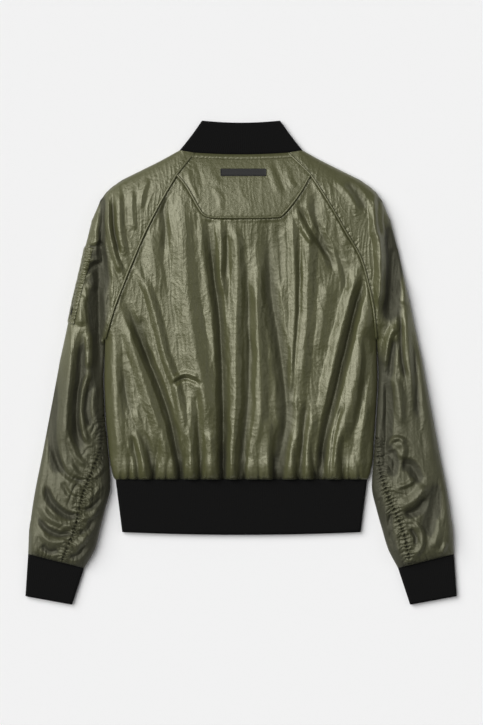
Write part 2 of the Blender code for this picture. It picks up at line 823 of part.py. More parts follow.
def raglan_piping(side, name):
    points = raglan_points(side)
    points[0] = points[0].lerp(points[1], 0.25)
    points[-1] = points[-2].lerp(points[-1], 0.4)
    return tube(name, [on_top(BODY, p, SEAM + PIPING_RADIUS) for p in points], PIPING_RADIUS, NYLON)


def yoke_piping():
    curve = yoke_curve()
    shares = shares_with((0.005,), YOKE_STEPS)[2:-2]
    points = [on_top(BODY, curve(u), SEAM + PIPING_RADIUS) for u in shares]
    return tube("yoke_piping", points, PIPING_RADIUS, NYLON)


def label():
    width, depth, wall = LABEL_SIZE
    rows = []
    for v in (0.5, -0.5):
        row = []
        for i in range(9):
            p = Vector((LABEL_AT[0] + width * (i / 8 - 0.5), LABEL_AT[1] + depth * v))
            row.append(on_top(BODY, p, 2 * SEAM + wall))
        rows.append(row)
    return paint(thicken(mesh_object("label", rows, up=True), wall), PATCH)


def sleeve_surface(side):
    """The outside of a sleeve's upper piece: its curl, then its columns."""
    grid = sleeve_back_grid(side)
    rows = lift(SLEEVES[side], grid, Region.top)
    outer = curls(SLEEVES[side], grid, "left", lambda row: 1.0)
    return [a[::-1] + row for a, row in zip(outer, rows)]


def moved_out(rows, i, j, clear):
    """A point of a grid moved out square to the surface there."""
    along = rows[i + 1][j] - rows[i - 1][j]
    across = rows[i][j + 1] - rows[i][max(j - 1, 0)]
    normal = along.cross(across).normalized()
    return rows[i][j] + normal * clear


def pocket_piece(name, first, last):
    """A piece lying on the left sleeve, made from the sleeve's own points moved out."""
    surface = sleeve_surface(-1)
    start, end = POCKET_ROWS
    rows = []
    for i in range(start, end + 1):
        row = [moved_out(surface, i, j, SEAM + CLOTH) for j in range(first, last + 1)]
        before, after = row[0].lerp(row[1], POCKET_GAP), row[-1].lerp(row[-2], POCKET_GAP)
        rows.append([before, *row[1:-1], after])
    return cloth(name, rows)


def pocket_pull():
    surface = sleeve_surface(-1)
    i = POCKET_ROWS[1] - 1
    start = moved_out(surface, i, 3, POCKET_PULL_LIFT)
    end = moved_out(surface, i + 1, 3, POCKET_PULL_LIFT)
    points = [start.lerp(end, t) for t in (-0.1, 0.15, 0.4)]
    return tube("pocket_pull", points, POCKET_PULL_RADIUS, TAPE)


def box(name, low, high):
    """A box between two corners in millimetres."""
    bpy.ops.mesh.primitive_cube_add(size=1)
    obj = bpy.context.object
    obj.name = name
    obj.data.name = name
    low, high = Vector(low) * MM, Vector(high) * MM
    for vert in obj.data.vertices:
        vert.co = (low + high) / 2 + Vector(c * s for c, s in zip(vert.co, high - low))
    move_to(obj, PARTS)
    return obj


def rod_x(name, half, radius, y, z, sides=16):
    """A cylinder along X, centred on the middle of the jacket."""
    bpy.ops.mesh.primitive_cylinder_add(vertices=sides, radius=radius * MM, depth=2 * half * MM)
    obj = bpy.context.object
    obj.name = name
    obj.data.name = name
    for vert in obj.data.vertices:
        x, across, along = vert.co.z, vert.co.y, vert.co.x
        vert.co = Vector((x, y * MM + across, z * MM - along))
    move_to(obj, PARTS)
    return obj


def move_to(obj, collection):
    for user in list(obj.users_collection):
        user.objects.unlink(obj)
    collection.objects.link(obj)


def combine(obj, other, operation):
    """Cuts the other piece from this one, or joins it, and keeps it as a hidden cutter."""
    move_to(other, CUTTERS)
    other.hide_render = True
    other.display_type = "WIRE"
    boolean = obj.modifiers.new(operation.lower(), "BOOLEAN")
    boolean.operation = operation
    boolean.object = other


def zip_tape(side, name):
    low, high = sorted((side * TAPE_X[0], side * TAPE_X[1]))
    tape = box(name, (low, HEM_Y - HEM_DEPTH, TAPE_Z[0]), (high, SLIDER_Y + 6, TAPE_Z[1]))
    return paint(tape, TAPE)


def zip_chain():
    chain = box(
        "zip_chain",
        (-CHAIN_HALF, HEM_Y - HEM_DEPTH, CHAIN_Z[0]),
        (CHAIN_HALF, POST_Y - SEAM, CHAIN_Z[1]),
    )
    return paint(chain, TAPE)


def zip_slider():
    """Two plates on one post, with room between them for the chain and the tapes, and a boss below."""
    half_x, half_y = SLIDER[0] / 2, SLIDER[1] / 2
    low, high = SLIDER_Y - half_y, SLIDER_Y + half_y
    slider = box("zip_slider", (-half_x, low, SLIDER_Z[0]), (half_x, high, SLIDER_Z[1]))
    room = (CHAIN_Z[0] - SEAM, CHAIN_Z[1] + SEAM)
    slot = (TAPE_Z[0] - TAPE_ROOM, TAPE_Z[1] + TAPE_ROOM)
    channel = box("channel", (-CHANNEL_HALF, low - 1, room[0]), (CHANNEL_HALF, POST_Y, room[1]))
    combine(slider, channel, "DIFFERENCE")
    for side, word in ((-1, "left"), (1, "right")):
        xs = sorted((side * POST_HALF, side * CHANNEL_HALF))
        cut = box("groove_" + word, (xs[0], POST_Y - 1, room[0]), (xs[1], high + 1, room[1]))
        combine(slider, cut, "DIFFERENCE")
        xs = sorted((side * CHAIN_HALF, side * (half_x + 1)))
        cut = box("slot_" + word, (xs[0], low - 1, slot[0]), (xs[1], high + 1, slot[1]))
        combine(slider, cut, "DIFFERENCE")
    boss_low = (-BOSS[0], SLIDER_Y - BOSS[1], PULL_AXIS_Z - BOSS[2])
    boss_high = (BOSS[0], SLIDER_Y + BOSS[1], SLIDER_Z[0] + 0.2)
    combine(slider, box("boss", boss_low, boss_high), "UNION")
    combine(slider, rod_x("pin", PIN_HALF, PIN_RADIUS, SLIDER_Y, PULL_AXIS_Z, 12), "UNION")
    return paint(slider, METAL)


def zip_pull():
    """A tab that forks round the slider's boss and turns on its pin."""
    half, thick = PULL_HALF, PULL_THICK / 2
    pull = box("zip_pull", (-half, -PULL_LENGTH, -thick), (half, 0.0, thick))
    combine(pull, rod_x("pull_end", half, thick, 0.0, 0.0), "UNION")
    combine(pull, box("fork", (-FORK[0], -FORK[1], -2), (FORK[0], 2, 2)), "DIFFERENCE")
    combine(pull, rod_x("eye", half + 1, EYE_RADIUS, 0.0, 0.0), "DIFFERENCE")
    window_low, window_high = (-WINDOW_HALF, WINDOW_Y[0], -2), (WINDOW_HALF, WINDOW_Y[1], 2)
    combine(pull, box("window", window_low, window_high), "DIFFERENCE")
    hinge = bpy.data.objects.new("pull_hinge", None)
    PARTS.objects.link(hinge)
    hinge.location = (0, SLIDER_Y * MM, PULL_AXIS_Z * MM)
    pull.parent = hinge
    for modifier in pull.modifiers:
        modifier.object.parent = hinge
    return paint(pull, METAL)


def clear_scene():
    for obj in list(bpy.data.objects):
        bpy.data.objects.remove(obj, do_unlink=True)


def new_collection(name):
    made = bpy.data.collections.new(name)
    bpy.context.scene.collection.children.link(made)
    return made


clear_scene()
PARTS = new_collection("bomber_jacket")
CUTTERS = new_collection("cutters")

back_panel()
back_yoke()
neck_band()
for word, way in (("left", -1), ("right", 1)):
    sleeve_back(way, "sleeve_back_" + word)
    undersleeve(way, "undersleeve_" + word)
    sleeve_front(way, "sleeve_front_" + word)
    front_panel(way, "front_" + word)
    cuff(way, "cuff_" + word)
    raglan_piping(way, "raglan_piping_" + word)
    zip_tape(way, "zip_tape_" + word)
collar()
hem_rib()
yoke_piping()
label()
pocket_piece("sleeve_pocket", 0, 3)
pocket_piece("pocket_placket", 3, 4)
pocket_pull()
zip_chain()
zip_slider()
zip_pull()
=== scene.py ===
"""Looks of the light nylon bomber jacket that lies flat, back upward, on the CAD frame."""

import math
from collections import namedtuple

import bpy
import numpy as np
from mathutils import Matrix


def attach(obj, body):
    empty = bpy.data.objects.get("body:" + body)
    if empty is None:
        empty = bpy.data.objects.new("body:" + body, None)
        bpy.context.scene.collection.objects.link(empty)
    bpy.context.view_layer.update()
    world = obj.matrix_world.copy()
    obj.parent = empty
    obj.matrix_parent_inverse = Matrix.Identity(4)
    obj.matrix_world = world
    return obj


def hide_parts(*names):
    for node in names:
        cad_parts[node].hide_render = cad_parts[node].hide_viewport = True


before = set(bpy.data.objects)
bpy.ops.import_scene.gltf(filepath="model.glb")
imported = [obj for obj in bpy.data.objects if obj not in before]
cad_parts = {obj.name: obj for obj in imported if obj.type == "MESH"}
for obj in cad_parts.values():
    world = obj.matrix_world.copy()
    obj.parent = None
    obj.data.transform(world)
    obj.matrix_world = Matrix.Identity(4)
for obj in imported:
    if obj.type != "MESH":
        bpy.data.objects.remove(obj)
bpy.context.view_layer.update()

# Lengths are in millimetres unless a name or a comment says otherwise.
MM = 0.001
RIB_TOP = 10.0
RIB_PITCH, RIB_DEPTH, RIB_WALL = 3.0, 0.35, 2.2
HEM_ROUND, COLLAR_ROUND, CUFF_ROUND = 861, 330, 180  # lengths round the bands that the ribs divide
FOLD_HIGH, FOLD_CURL, FOLD_REACH = 8.0, 9.0, 45.0  # folded edge: height, curl under, rise
BAND_FOLD, BAND_CURL, BAND_REACH = 5.0, 5.0, 6.0  # the same beside a knitted band
SLEEVE_CROWN, BODY_CROWN, CROWN_WIDTH = 28.0, 10.0, 150.0
HEM_BULGE, COLLAR_EASE = 35.0, 120.0
UNDER_ANGLE = math.radians(40)  # how far round its curl an upper piece ends
HEM_Y, HEM_DEPTH, HEM_BOW = -198.5, 89.6, 4.6
HEM_HALF, HEM_TAPER, HEM_MIDDLE = 214.5, 11.2, 0.6  # half width at the seam, how much less below, centre
CROTCH_Y, CROTCH_RUN = 38.0, 40.0  # underarm, and how far below it the folded edges take to form
COLLAR_Y, COLLAR_HALF, COLLAR_DIP = 358.2, 80.0, 3.0
COLLAR_CORNER, COLLAR_TOP, COLLAR_TOP_DIP = (105.0, 362.4), (66.8, 412.9), 3.6
FRONT_DROP = 25.0
YOKE_TOP_Y, YOKE_TIP_Y = 348.8, 320.0
CUFF_TOP_IN, CUFF_TOP_OUT = (267.4, -349.3), (363.0, -325.6)
CUFF_END_IN, CUFF_END_OUT = (288.0, -411.7), (367.7, -397.2)
ZIP_HALF = 5.3
PIPING = 2.0

EdgeRow = namedtuple("EdgeRow", "y left right")
SleeveRow = namedtuple("SleeveRow", "outer_y inner_y steps")
Fold = namedtuple("Fold", "points width height")

SILHOUETTE = [
    EdgeRow(362.4, 105, 105),
    EdgeRow(345, 136, 136),
    EdgeRow(328, 170, 170),
    EdgeRow(311, 203, 203),
    EdgeRow(294, 226, 226),
    EdgeRow(277, 239.5, 239.5),
    EdgeRow(243, 254, 254),
    EdgeRow(192, 267.5, 267.5),
    EdgeRow(107, 287, 287),
    EdgeRow(5, 308.5, 308.5),
    EdgeRow(-130, 333.5, 333.5),
    EdgeRow(-266, 358, 358),
    EdgeRow(-325.6, 363, 363),
]
RAGLAN = [
    EdgeRow(358.2, 80, 80),
    EdgeRow(320, 109.5, 118),
    EdgeRow(272, 137, 149),
    EdgeRow(226, 161, 176),
    EdgeRow(179, 181.5, 203),
    EdgeRow(130, 201, 217),
    EdgeRow(92, 216, 225),
    EdgeRow(38, 232, 231),
]
BODY_EDGE = [
    EdgeRow(38, 232, 231),
    EdgeRow(-32, 233, 232.5),
    EdgeRow(-95, 230.5, 229),
    EdgeRow(-132, 227, 226.5),
    EdgeRow(-173, 222.5, 223.5),
    EdgeRow(-198.5, 214, 215.2),
]
SLEEVE_INNER = [
    EdgeRow(38, 232, 231),
    EdgeRow(0, 234, 233.5),
    EdgeRow(-32, 234.6, 234),
    EdgeRow(-95, 232, 230.6),
    EdgeRow(-132, 228.6, 228.2),
    EdgeRow(-173, 224.5, 225.2),
    EdgeRow(-215, 223, 223),
    EdgeRow(-250, 232, 231),
    EdgeRow(-284, 240.5, 240.5),
    EdgeRow(-318, 249.5, 251),
    EdgeRow(-349.3, 267.4, 267.4),
]
ELBOW_SEAM_LEFT = [
    EdgeRow(-92, 235.5, 0),
    EdgeRow(-144, 237.5, 0),
    EdgeRow(-180, 251, 0),
    EdgeRow(-222, 268, 0),
    EdgeRow(-285, 283, 0),
    EdgeRow(-339.8, 305.5, 0),
]
ELBOW_SEAM_RIGHT = [
    EdgeRow(-131, 0, 232),
    EdgeRow(-181, 0, 237),
    EdgeRow(-227, 0, 251),
    EdgeRow(-261, 0, 266),
    EdgeRow(-292, 0, 278),
    EdgeRow(-344, 0, 289),
]
SLEEVE_ROWS_LEFT = [
    SleeveRow(362.4, 358.2, 1),
    SleeveRow(350, 348.8, 2),
    SleeveRow(328, 320, 6),
    SleeveRow(199, 178, 5),
    SleeveRow(68, 38, 5),
    SleeveRow(-66, -88, 1),
    SleeveRow(-70, -92, 7),
    SleeveRow(-325.6, -339.8, 0),
]
SLEEVE_ROWS_RIGHT = [
    SleeveRow(362.4, 358.2, 1),
    SleeveRow(350, 348.8, 2),
    SleeveRow(328, 320, 6),
    SleeveRow(199, 178, 5),
    SleeveRow(68, 38, 6),
    SleeveRow(-105, -127, 1),
    SleeveRow(-109, -131, 6),
    SleeveRow(-325.6, -344, 0),
]
YOKE_LINE = [
    (-93, 300), (-72.5, 264), (-63, 251.5), (-48, 247),
    (3, 246.2), (57, 247.6), (72.5, 253.5), (99, 287),
]
ELBOW_SEAMS = {-1: ELBOW_SEAM_LEFT, 1: ELBOW_SEAM_RIGHT}
SLEEVE_ROWS = {-1: SLEEVE_ROWS_LEFT, 1: SLEEVE_ROWS_RIGHT}
WORDS = {-1: "left", 1: "right"}

CREST_STRENGTH, FURROW_STRENGTH = 1.45, 1.5
HEM_SINK, HEM_SINK_REACH = 9.0, 130.0
DETAIL_DROP = 2.0  # crests and furrows together stay about as high as the plain form

# Crests (height above 0) and furrows of the back, each along a bent line, in millimetres.
BODY_FOLDS = [
    Fold([(-101, 300), (-97, 200), (-89, 100), (-78, 20), (-62, -60), (-56, -130)], 17, 6.5),
    Fold([(-72, 262), (-66, 190), (-56, 110), (-46, 40), (-42, -40)], 8, 2.2),
    Fold([(-58, 252), (-46, 150), (-38, 90), (-33, 0), (-30, -100), (-30, -215)], 8, -7.5),
    Fold([(-36, 250), (-33, 200), (-35, 150), (-31, 110)], 7, 3.4),
    Fold([(-26, 226), (-24, 180), (-26, 140)], 6, -2.6),
    Fold([(-16, 238), (-7, 200), (-6, 120), (-9, 40), (-9, -60), (-15, -150), (-18, -215)], 9, 4.8),
    Fold([(9, 190), (14, 80), (14, 0), (11, -80), (2, -150), (0, -215)], 8, -4.6),
    Fold([(29, 186), (27, 80), (32, 0), (33, -80), (27, -150)], 10, 5.0),
    Fold([(44, 256), (50, 130), (60, 60), (70, -10), (77, -90), (66, -160), (60, -215)], 11, -7.0),
    Fold([(88, 262), (89, 190), (92, 100), (89, 0), (84, -60)], 7, 3.2),
    Fold([(98, 210), (98, 100), (92, 10), (87, -90)], 4, -2.8),
    Fold([(118, 262), (115, 190), (113, 100), (107, 20), (98, -60)], 10, 4.6),
    Fold([(92, 262), (106, 226), (124, 200)], 5, 2.6),
    Fold([(101, 268), (116, 232), (136, 200), (148, 178)], 5, -3.4),
    Fold([(124, 292), (128, 240), (148, 188), (158, 150)], 7, -3.6),
    Fold([(203, 172), (182, 100), (166, 40), (150, -30), (140, -90)], 10, 6.0),
    Fold([(210, 152), (195, 98), (176, 18), (157, -60), (142, -130), (132, -215)], 8, -8.0),
    Fold([(216, 120), (207, 50), (200, 0), (182, -80), (160, -150), (150, -215)], 14, 6.5),
    Fold([(172, -70), (158, -120), (150, -200)], 4, -3.4),
    Fold([(206, 60), (212, 0), (205, -60), (196, -120)], 6, -3.0),
    Fold([(214, -60), (206, -120), (196, -200)], 9, 3.6),
    Fold([(-183, 172), (-158, 122), (-140, 60), (-128, 10), (-110, -40), (-98, -110), (-92, -150)], 7, 4.6),
    Fold([(-198, 110), (-166, 26), (-138, -42), (-117, -110), (-99, -215)], 7, -6.8),
    Fold([(-204, 92), (-178, 10), (-156, -60), (-136, -120), (-122, -180)], 10, 4.6),
    Fold([(-172, 82), (-162, 40), (-154, -10)], 7, -3.2),
    Fold([(-218, 70), (-217, 0), (-213, -100), (-204, -180)], 10, 4.2),
    Fold([(-200, 10), (-196, -50), (-182, -100), (-158, -150), (-146, -215)], 8, -4.4),
    Fold([(-190, -70), (-172, -130), (-160, -215)], 8, 3.6),
    Fold([(-186, -120), (-178, -160), (-172, -215)], 5, -3.0),
    Fold([(-116, -40), (-104, -28), (-88, -26), (-66, -38)], 4, -3.4),
    Fold([(-112, -30), (-96, -18), (-70, -26)], 5, 2.6),
    Fold([(-76, -40), (-72, -110), (-70, -215)], 7, -3.6),
    Fold([(-88, -60), (-86, -130), (-84, -215)], 9, 3.8),
    Fold([(-52, -110), (-52, -215)], 9, 3.8),
    Fold([(50, -90), (46, -140), (44, -215)], 8, 3.4),
    Fold([(96, -110), (88, -160), (84, -215)], 9, 4.0),
    Fold([(112, -60), (104, -130), (98, -215)], 6, -4.0),
    Fold([(122, -80), (116, -140), (112, -215)], 7, 3.2),
    Fold([(176, -120), (172, -160), (172, -215)], 6, -3.4),
    Fold([(150, 140), (138, 80), (130, 10)], 12, 2.6),
    Fold([(-150, 236), (-148, 170), (-140, 110)], 12, 2.6),
    Fold([(-126, 292), (-132, 262), (-128, 222), (-132, 180)], 6, -3.0),
    Fold([(62, 244), (66, 180), (68, 120)], 7, -1.8),
    Fold([(-142, 300), (-150, 262), (-162, 226)], 6, 2.6),
    Fold([(168, 262), (176, 236), (184, 196)], 9, 2.8),
    Fold([(160, 200), (176, 150), (180, 120)], 6, -2.0),
]
YOKE_FOLDS = [
    Fold([(-92, 330), (-84, 300), (-74, 268)], 5, 2.4),
    Fold([(-78, 344), (-70, 322), (-66, 296)], 4, -1.6),
    Fold([(-60, 346), (-48, 318), (-36, 300)], 7, 1.4),
    Fold([(-48, 300), (-36, 280), (-34, 256)], 5, 1.6),
    Fold([(44, 344), (56, 312), (64, 284)], 5, 2.2),
    Fold([(56, 346), (66, 316), (76, 288)], 4, -1.6),
    Fold([(78, 334), (82, 312), (92, 296)], 5, 2.2),
    Fold([(20, 256), (8, 280), (-6, 296)], 10, 0.9),
]
SLEEVE_FOLDS = [
    Fold([(-236, 300), (-235, 250), (-238, 200), (-232, 160)], 6, -5.0),
    Fold([(-226, 292), (-224, 230), (-212, 176), (-202, 152)], 5, 4.0),
    Fold([(-219, 286), (-216, 226), (-206, 180)], 4, -2.8),
    Fold([(-208, 300), (-206, 236), (-196, 176)], 6, 3.0),
    Fold([(-186, 300), (-184, 250), (-182, 224)], 5, 1.8),
    Fold([(-158, 316), (-166, 290), (-172, 260)], 5, 1.8),
    Fold([(-252, 236), (-246, 212), (-252, 196)], 6, 2.4),
    Fold([(-262, 196), (-244, 200), (-234, 206)], 4, -2.6),
    Fold([(-264, 172), (-248, 176), (-236, 176)], 4, 2.2),
    Fold([(-266, 150), (-250, 166), (-240, 168)], 4, -2.4),
    Fold([(-258, 158), (-250, 140), (-258, 122)], 7, 3.0),
    Fold([(-240, 210), (-243, 140), (-242, 90), (-240, 30), (-239, -60)], 15, -11.0),
    Fold([(-234, 130), (-232, 80), (-236, 40)], 6, 3.0),
    Fold([(-270, 120), (-274, 90), (-272, 60)], 8, 4.0),
    Fold([(-282, 68), (-289, 0), (-297, -80), (-301, -150)], 12, 6.0),
    Fold([(-272, 60), (-275, -20), (-281, -90), (-272, -150)], 10, -7.0),
    Fold([(-258, 56), (-255, 20), (-258, -12)], 8, 3.6),
    Fold([(-254, -16), (-266, -36), (-272, -80), (-268, -118), (-256, -138)], 5, 4.2),
    Fold([(-258, -34), (-262, -80), (-256, -110)], 6, -3.6),
    Fold([(-244, -34), (-250, -70), (-242, -110)], 5, 2.8),
    Fold([(-318, -20), (-322, -100), (-316, -160), (-304, -190)], 9, -4.6),
    Fold([(-336, -120), (-340, -190), (-346, -240)], 8, 3.4),
    Fold([(-296, -150), (-292, -200), (-286, -240)], 14, 2.6),
    Fold([(-334, -206), (-322, -236), (-300, -256), (-276, -262)], 6, -4.4),
    Fold([(-342, -240), (-326, -262), (-300, -274), (-280, -276)], 6, 3.4),
    Fold([(-346, -262), (-330, -282), (-306, -292), (-286, -288)], 5, -3.6),
    Fold([(-344, -286), (-326, -302), (-308, -304), (-292, -298)], 6, 3.6),
    Fold([(-340, -308), (-326, -320), (-308, -318)], 5, -3.2),
    Fold([(-352, -286), (-354, -306), (-352, -330)], 6, 3.4),
    Fold([(-320, -140), (-306, -176), (-286, -196), (-262, -200)], 5, -3.0),
    Fold([(-292, -120), (-280, -156), (-262, -176)], 5, 2.8),
    Fold([(-290, -170), (-276, -190), (-258, -196)], 4, 2.4),
    Fold([(-304, -200), (-292, -222), (-272, -232)], 4, -2.4),
    Fold([(-262, -232), (-250, -224), (-234, -206)], 4, 2.8),
    Fold([(-266, -250), (-252, -244), (-236, -226)], 4, -3.0),
    Fold([(-272, -262), (-256, -262), (-240, -246)], 5, 3.2),
    Fold([(-276, -288), (-262, -286), (-250, -262)], 5, -3.4),
    Fold([(-286, -312), (-270, -304), (-256, -280)], 6, 4.0),
    Fold([(-292, -330), (-276, -326), (-262, -308)], 5, -3.0),
    Fold([(-252, -196), (-240, -186), (-230, -170)], 4, 2.6),
    Fold([(236, 296), (232, 246), (238, 210)], 5, -4.2),
    Fold([(228, 288), (230, 236), (237, 190), (237, 130), (232, 70)], 9, 8.5),
    Fold([(256, 244), (257, 180), (255, 120), (250, 64)], 15, -10.5),
    Fold([(262, 250), (258, 214), (256, 186)], 5, 3.6),
    Fold([(268, 190), (266, 150), (262, 110)], 5, -2.6),
    Fold([(276, 148), (280, 120), (274, 98)], 6, 3.0),
    Fold([(266, 66), (252, 46), (246, 16), (242, -8)], 6, 4.4),
    Fold([(262, 44), (256, 10), (252, -30)], 6, -4.4),
    Fold([(280, 96), (284, 20), (294, -60)], 7, 4.2),
    Fold([(272, 90), (272, 20), (280, -30)], 5, -3.6),
    Fold([(292, 40), (298, -30), (300, -100)], 6, -3.2),
    Fold([(308, 20), (320, -80), (332, -180)], 12, 4.0),
    Fold([(262, -22), (268, -60), (272, -110)], 7, 4.0),
    Fold([(246, -20), (247, -100), (243, -190)], 9, -7.0),
    Fold([(240, -30), (241, -70), (239, -110)], 4, 3.0),
    Fold([(248, -150), (254, -132), (268, -128), (282, -136)], 4, 3.8),
    Fold([(254, -146), (260, -166), (256, -196)], 7, -4.4),
    Fold([(266, -132), (276, -146), (270, -164)], 6, 3.4),
    Fold([(272, -172), (290, -176), (306, -206)], 9, -5.0),
    Fold([(314, -206), (304, -222), (288, -236), (268, -244)], 9, 5.5),
    Fold([(262, -212), (282, -206), (296, -196)], 4, 3.0),
    Fold([(312, -226), (300, -250), (276, -258)], 7, -4.6),
    Fold([(336, -200), (326, -250), (318, -300)], 14, -3.8),
    Fold([(346, -180), (352, -250), (354, -310)], 9, 3.4),
    Fold([(338, -260), (334, -290), (326, -316)], 7, 2.8),
    Fold([(292, -270), (306, -286), (306, -312), (292, -330)], 5, 3.4),
    Fold([(286, -280), (296, -294), (296, -310)], 3.5, -2.6),
    Fold([(266, -282), (262, -302), (270, -326)], 5, 3.0),
    Fold([(254, -250), (252, -284), (262, -320)], 5, -2.8),
    Fold([(244, -220), (246, -260), (252, -300)], 5, 2.6),
    Fold([(350, -304), (344, -316), (340, -326)], 4, 3.0),
    Fold([(160, 312), (184, 284), (200, 250)], 6, 2.0),
    Fold([(178, 310), (198, 286), (214, 256)], 7, -2.2),
]
Gather = namedtuple("Gather", "x lean length width depth")
# Gathers where the back is sewn to the knitted hem: where, which way they lean, and how far they run up.
HEM_GATHERS = [
    Gather(-205, 0.10, 26, 3.0, 2.0),
    Gather(-191, 0.12, 40, 3.0, 3.0),
    Gather(-176, 0.05, 20, 2.4, 1.4),
    Gather(-150, 0.16, 60, 4.0, 4.4),
    Gather(-139, 0.04, 22, 2.4, 1.6),
    Gather(-128, 0.14, 30, 2.6, 2.0),
    Gather(-104, 0.12, 80, 4.2, 4.6),
    Gather(-92, 0.02, 20, 2.2, 1.4),
    Gather(-70, 0.06, 56, 3.8, 4.2),
    Gather(-60, -0.02, 18, 2.2, 1.4),
    Gather(-31, 0.00, 90, 4.4, 4.8),
    Gather(-21, 0.02, 20, 2.4, 1.6),
    Gather(-4, 0.04, 30, 2.6, 1.8),
    Gather(6, 0.02, 60, 3.8, 4.0),
    Gather(31, -0.04, 24, 2.4, 1.6),
    Gather(41, 0.00, 20, 2.2, 1.4),
    Gather(57, -0.04, 80, 4.4, 4.8),
    Gather(69, -0.08, 22, 2.4, 1.8),
    Gather(97, -0.08, 50, 3.6, 3.8),
    Gather(106, -0.04, 20, 2.2, 1.4),
    Gather(127, -0.14, 80, 4.4, 4.8),
    Gather(133, -0.10, 24, 2.2, 2.2),
    Gather(144, -0.12, 64, 3.8, 4.2),
    Gather(158, -0.08, 24, 2.4, 1.6),
    Gather(175, -0.14, 40, 3.0, 3.2),
    Gather(186, -0.10, 20, 2.2, 1.4),
    Gather(202, -0.12, 30, 3.0, 2.4),
]


# ---- numbers ---------------------------------------------------------------------------------


def rise(t):
    """Height of a quarter circle, 0 at t = 0 and 1 from t = 1 on."""
    t = np.clip(t, 0, 1)
    return np.sqrt(1 - (1 - t) ** 2)


def ease(t):
    t = np.clip(t, 0, 1)
    return t * (2 - t)


def smooth(t):
    t = np.clip(t, 0, 1)
    return t * t * (3 - 2 * t)


def spline(points, t):
    """Points at t, counted in spans, on the Catmull-Rom curve through the points."""
    points = np.asarray(points, float)
    t = np.atleast_1d(np.asarray(t, float))
    before = 2 * points[0] - points[1]
    after = 2 * points[-1] - points[-2]
    padded = np.vstack([before, points, after])
    i = np.clip(t.astype(int), 0, len(points) - 2)
    f = (t - i)[:, None]
    p0, p1, p2, p3 = (padded[i + k] for k in range(4))
    bend = p0 * 2 - p1 * 5 + p2 * 4 - p3
    return (p1 * 2 + (p2 - p0) * f + bend * f**2 + (p1 * 3 - p0 - p2 * 3 + p3) * f**3) / 2


def even_curve(points, shares):
    """Points at even shares of the length of the smooth curve through the points."""
    line = spline(points, np.linspace(0, len(points) - 1, 601))
    lengths = np.concatenate([[0], np.cumsum(np.linalg.norm(np.diff(line, axis=0), axis=1))])
    goal = np.asarray(shares) * lengths[-1]
    return np.stack([np.interp(goal, lengths, line[:, k]) for k in range(2)], axis=1)


def edge_points(table, side, ys):
    """Plan points of an edge at the heights ys."""
    ys = np.atleast_1d(np.asarray(ys, float))
    heights = np.array([row.y for row in table], float)
    xs = np.array([row.left if side < 0 else row.right for row in table], float)
    spans = np.interp(-ys, -heights, np.arange(len(table)))
    x = spline(np.stack([heights, xs], axis=1), spans)[:, 1]
    return np.stack([side * x, ys], axis=1)


def edge_line(table, side, steps):
    return edge_points(table, side, np.linspace(table[0].y, table[-1].y, steps + 1))


def line_distance(p, line):
    """Distance in plan from each point to a line of points."""
    best = np.full(p.shape[:-1], 1e9)
    for a, b in zip(line, line[1:]):
        run = b - a
        share = np.clip(((p - a) @ run) / (run @ run), 0, 1)
        best = np.minimum(best, np.linalg.norm(p - a - share[..., None] * run, axis=-1))
    return best


_RANDOM = np.random.default_rng(11)
_SHUFFLE = np.concatenate([_RANDOM.permutation(256)] * 3)
_ANGLES = _RANDOM.uniform(0, 2 * np.pi, 256)


def noise(x, y):
    """Smooth gradient noise from -1 to 1, the same each run."""
    xi, yi = np.floor(x).astype(int), np.floor(y).astype(int)
    xf, yf = x - xi, y - yi

    def corner(dx, dy):
        angle = _ANGLES[_SHUFFLE[(_SHUFFLE[(xi + dx) & 255] + yi + dy) & 255]]
        return np.cos(angle) * (xf - dx) + np.sin(angle) * (yf - dy)

    u, v = smooth(xf), smooth(yf)
    low = corner(0, 0) * (1 - u) + corner(1, 0) * u
    high = corner(0, 1) * (1 - u) + corner(1, 1) * u
    return (low * (1 - v) + high * v) * 1.5


def ridged(x, y):
    """Sharp-crested noise from 0 to 1, like creases in thin cloth."""
    return 1 - np.abs(noise(x, y))


def crinkle(x, y):
    """Height of the fine creases that cover the nylon, longer along the jacket than across it."""
    wx = x + 7 * noise(x / 38 + 5.2, y / 60 + 1.3)
    wy = y + 12 * noise(x / 45 + 8.1, y / 50 + 7.7)
    long = ridged(wx / 17, wy / 70) ** 9 * 1.1
    slanted = ridged((wx + 0.7 * wy) / 15 + 57, (wy - 0.4 * wx) / 26 + 5) ** 11 * 1.0
    cross = ridged((wx - 1.4 * wy) / 13 + 7, (wy + 0.5 * wx) / 22 + 25) ** 11 * 0.8
    small = ridged(wx / 6.5 + 11, wy / 5.5 + 3) ** 6 * 0.30
    patch = smooth(0.5 + 1.3 * noise(x / 45 + 2, y / 60 + 9))
    streaks = ridged(wx / 8.5 + 3, wy / 120 + 41) ** 8 * (1.3 - 0.6 * patch)
    return long + streaks + slanted * patch + cross * (1.1 - patch) + small * (0.4 + patch)


# ---- the form --------------------------------------------------------------------------------


def collar_seam_y(x):
    inner = COLLAR_DIP * np.maximum(0.0, 1 - (x / COLLAR_HALF) ** 2)
    slope = (COLLAR_CORNER[1] - COLLAR_Y) / (COLLAR_CORNER[0] - COLLAR_HALF)
    return COLLAR_Y - inner + slope * np.maximum(0.0, np.abs(x) - COLLAR_HALF)


def front_drop(x):
    return FRONT_DROP * np.maximum(0.0, 1 - (x / COLLAR_HALF) ** 2) ** 2


OUTLINES = {side: edge_line(SILHOUETTE, side, 60) for side in (-1, 1)}
BODY_SIDES = {side: edge_line(BODY_EDGE, side, 24) for side in (-1, 1)}
INNER_SIDES = {side: edge_line(SLEEVE_INNER, side, 36) for side in (-1, 1)}


def bent_line(fold):
    spans = len(fold.points) - 1
    return spline(fold.points, np.linspace(0, spans, 4 * spans + 1))


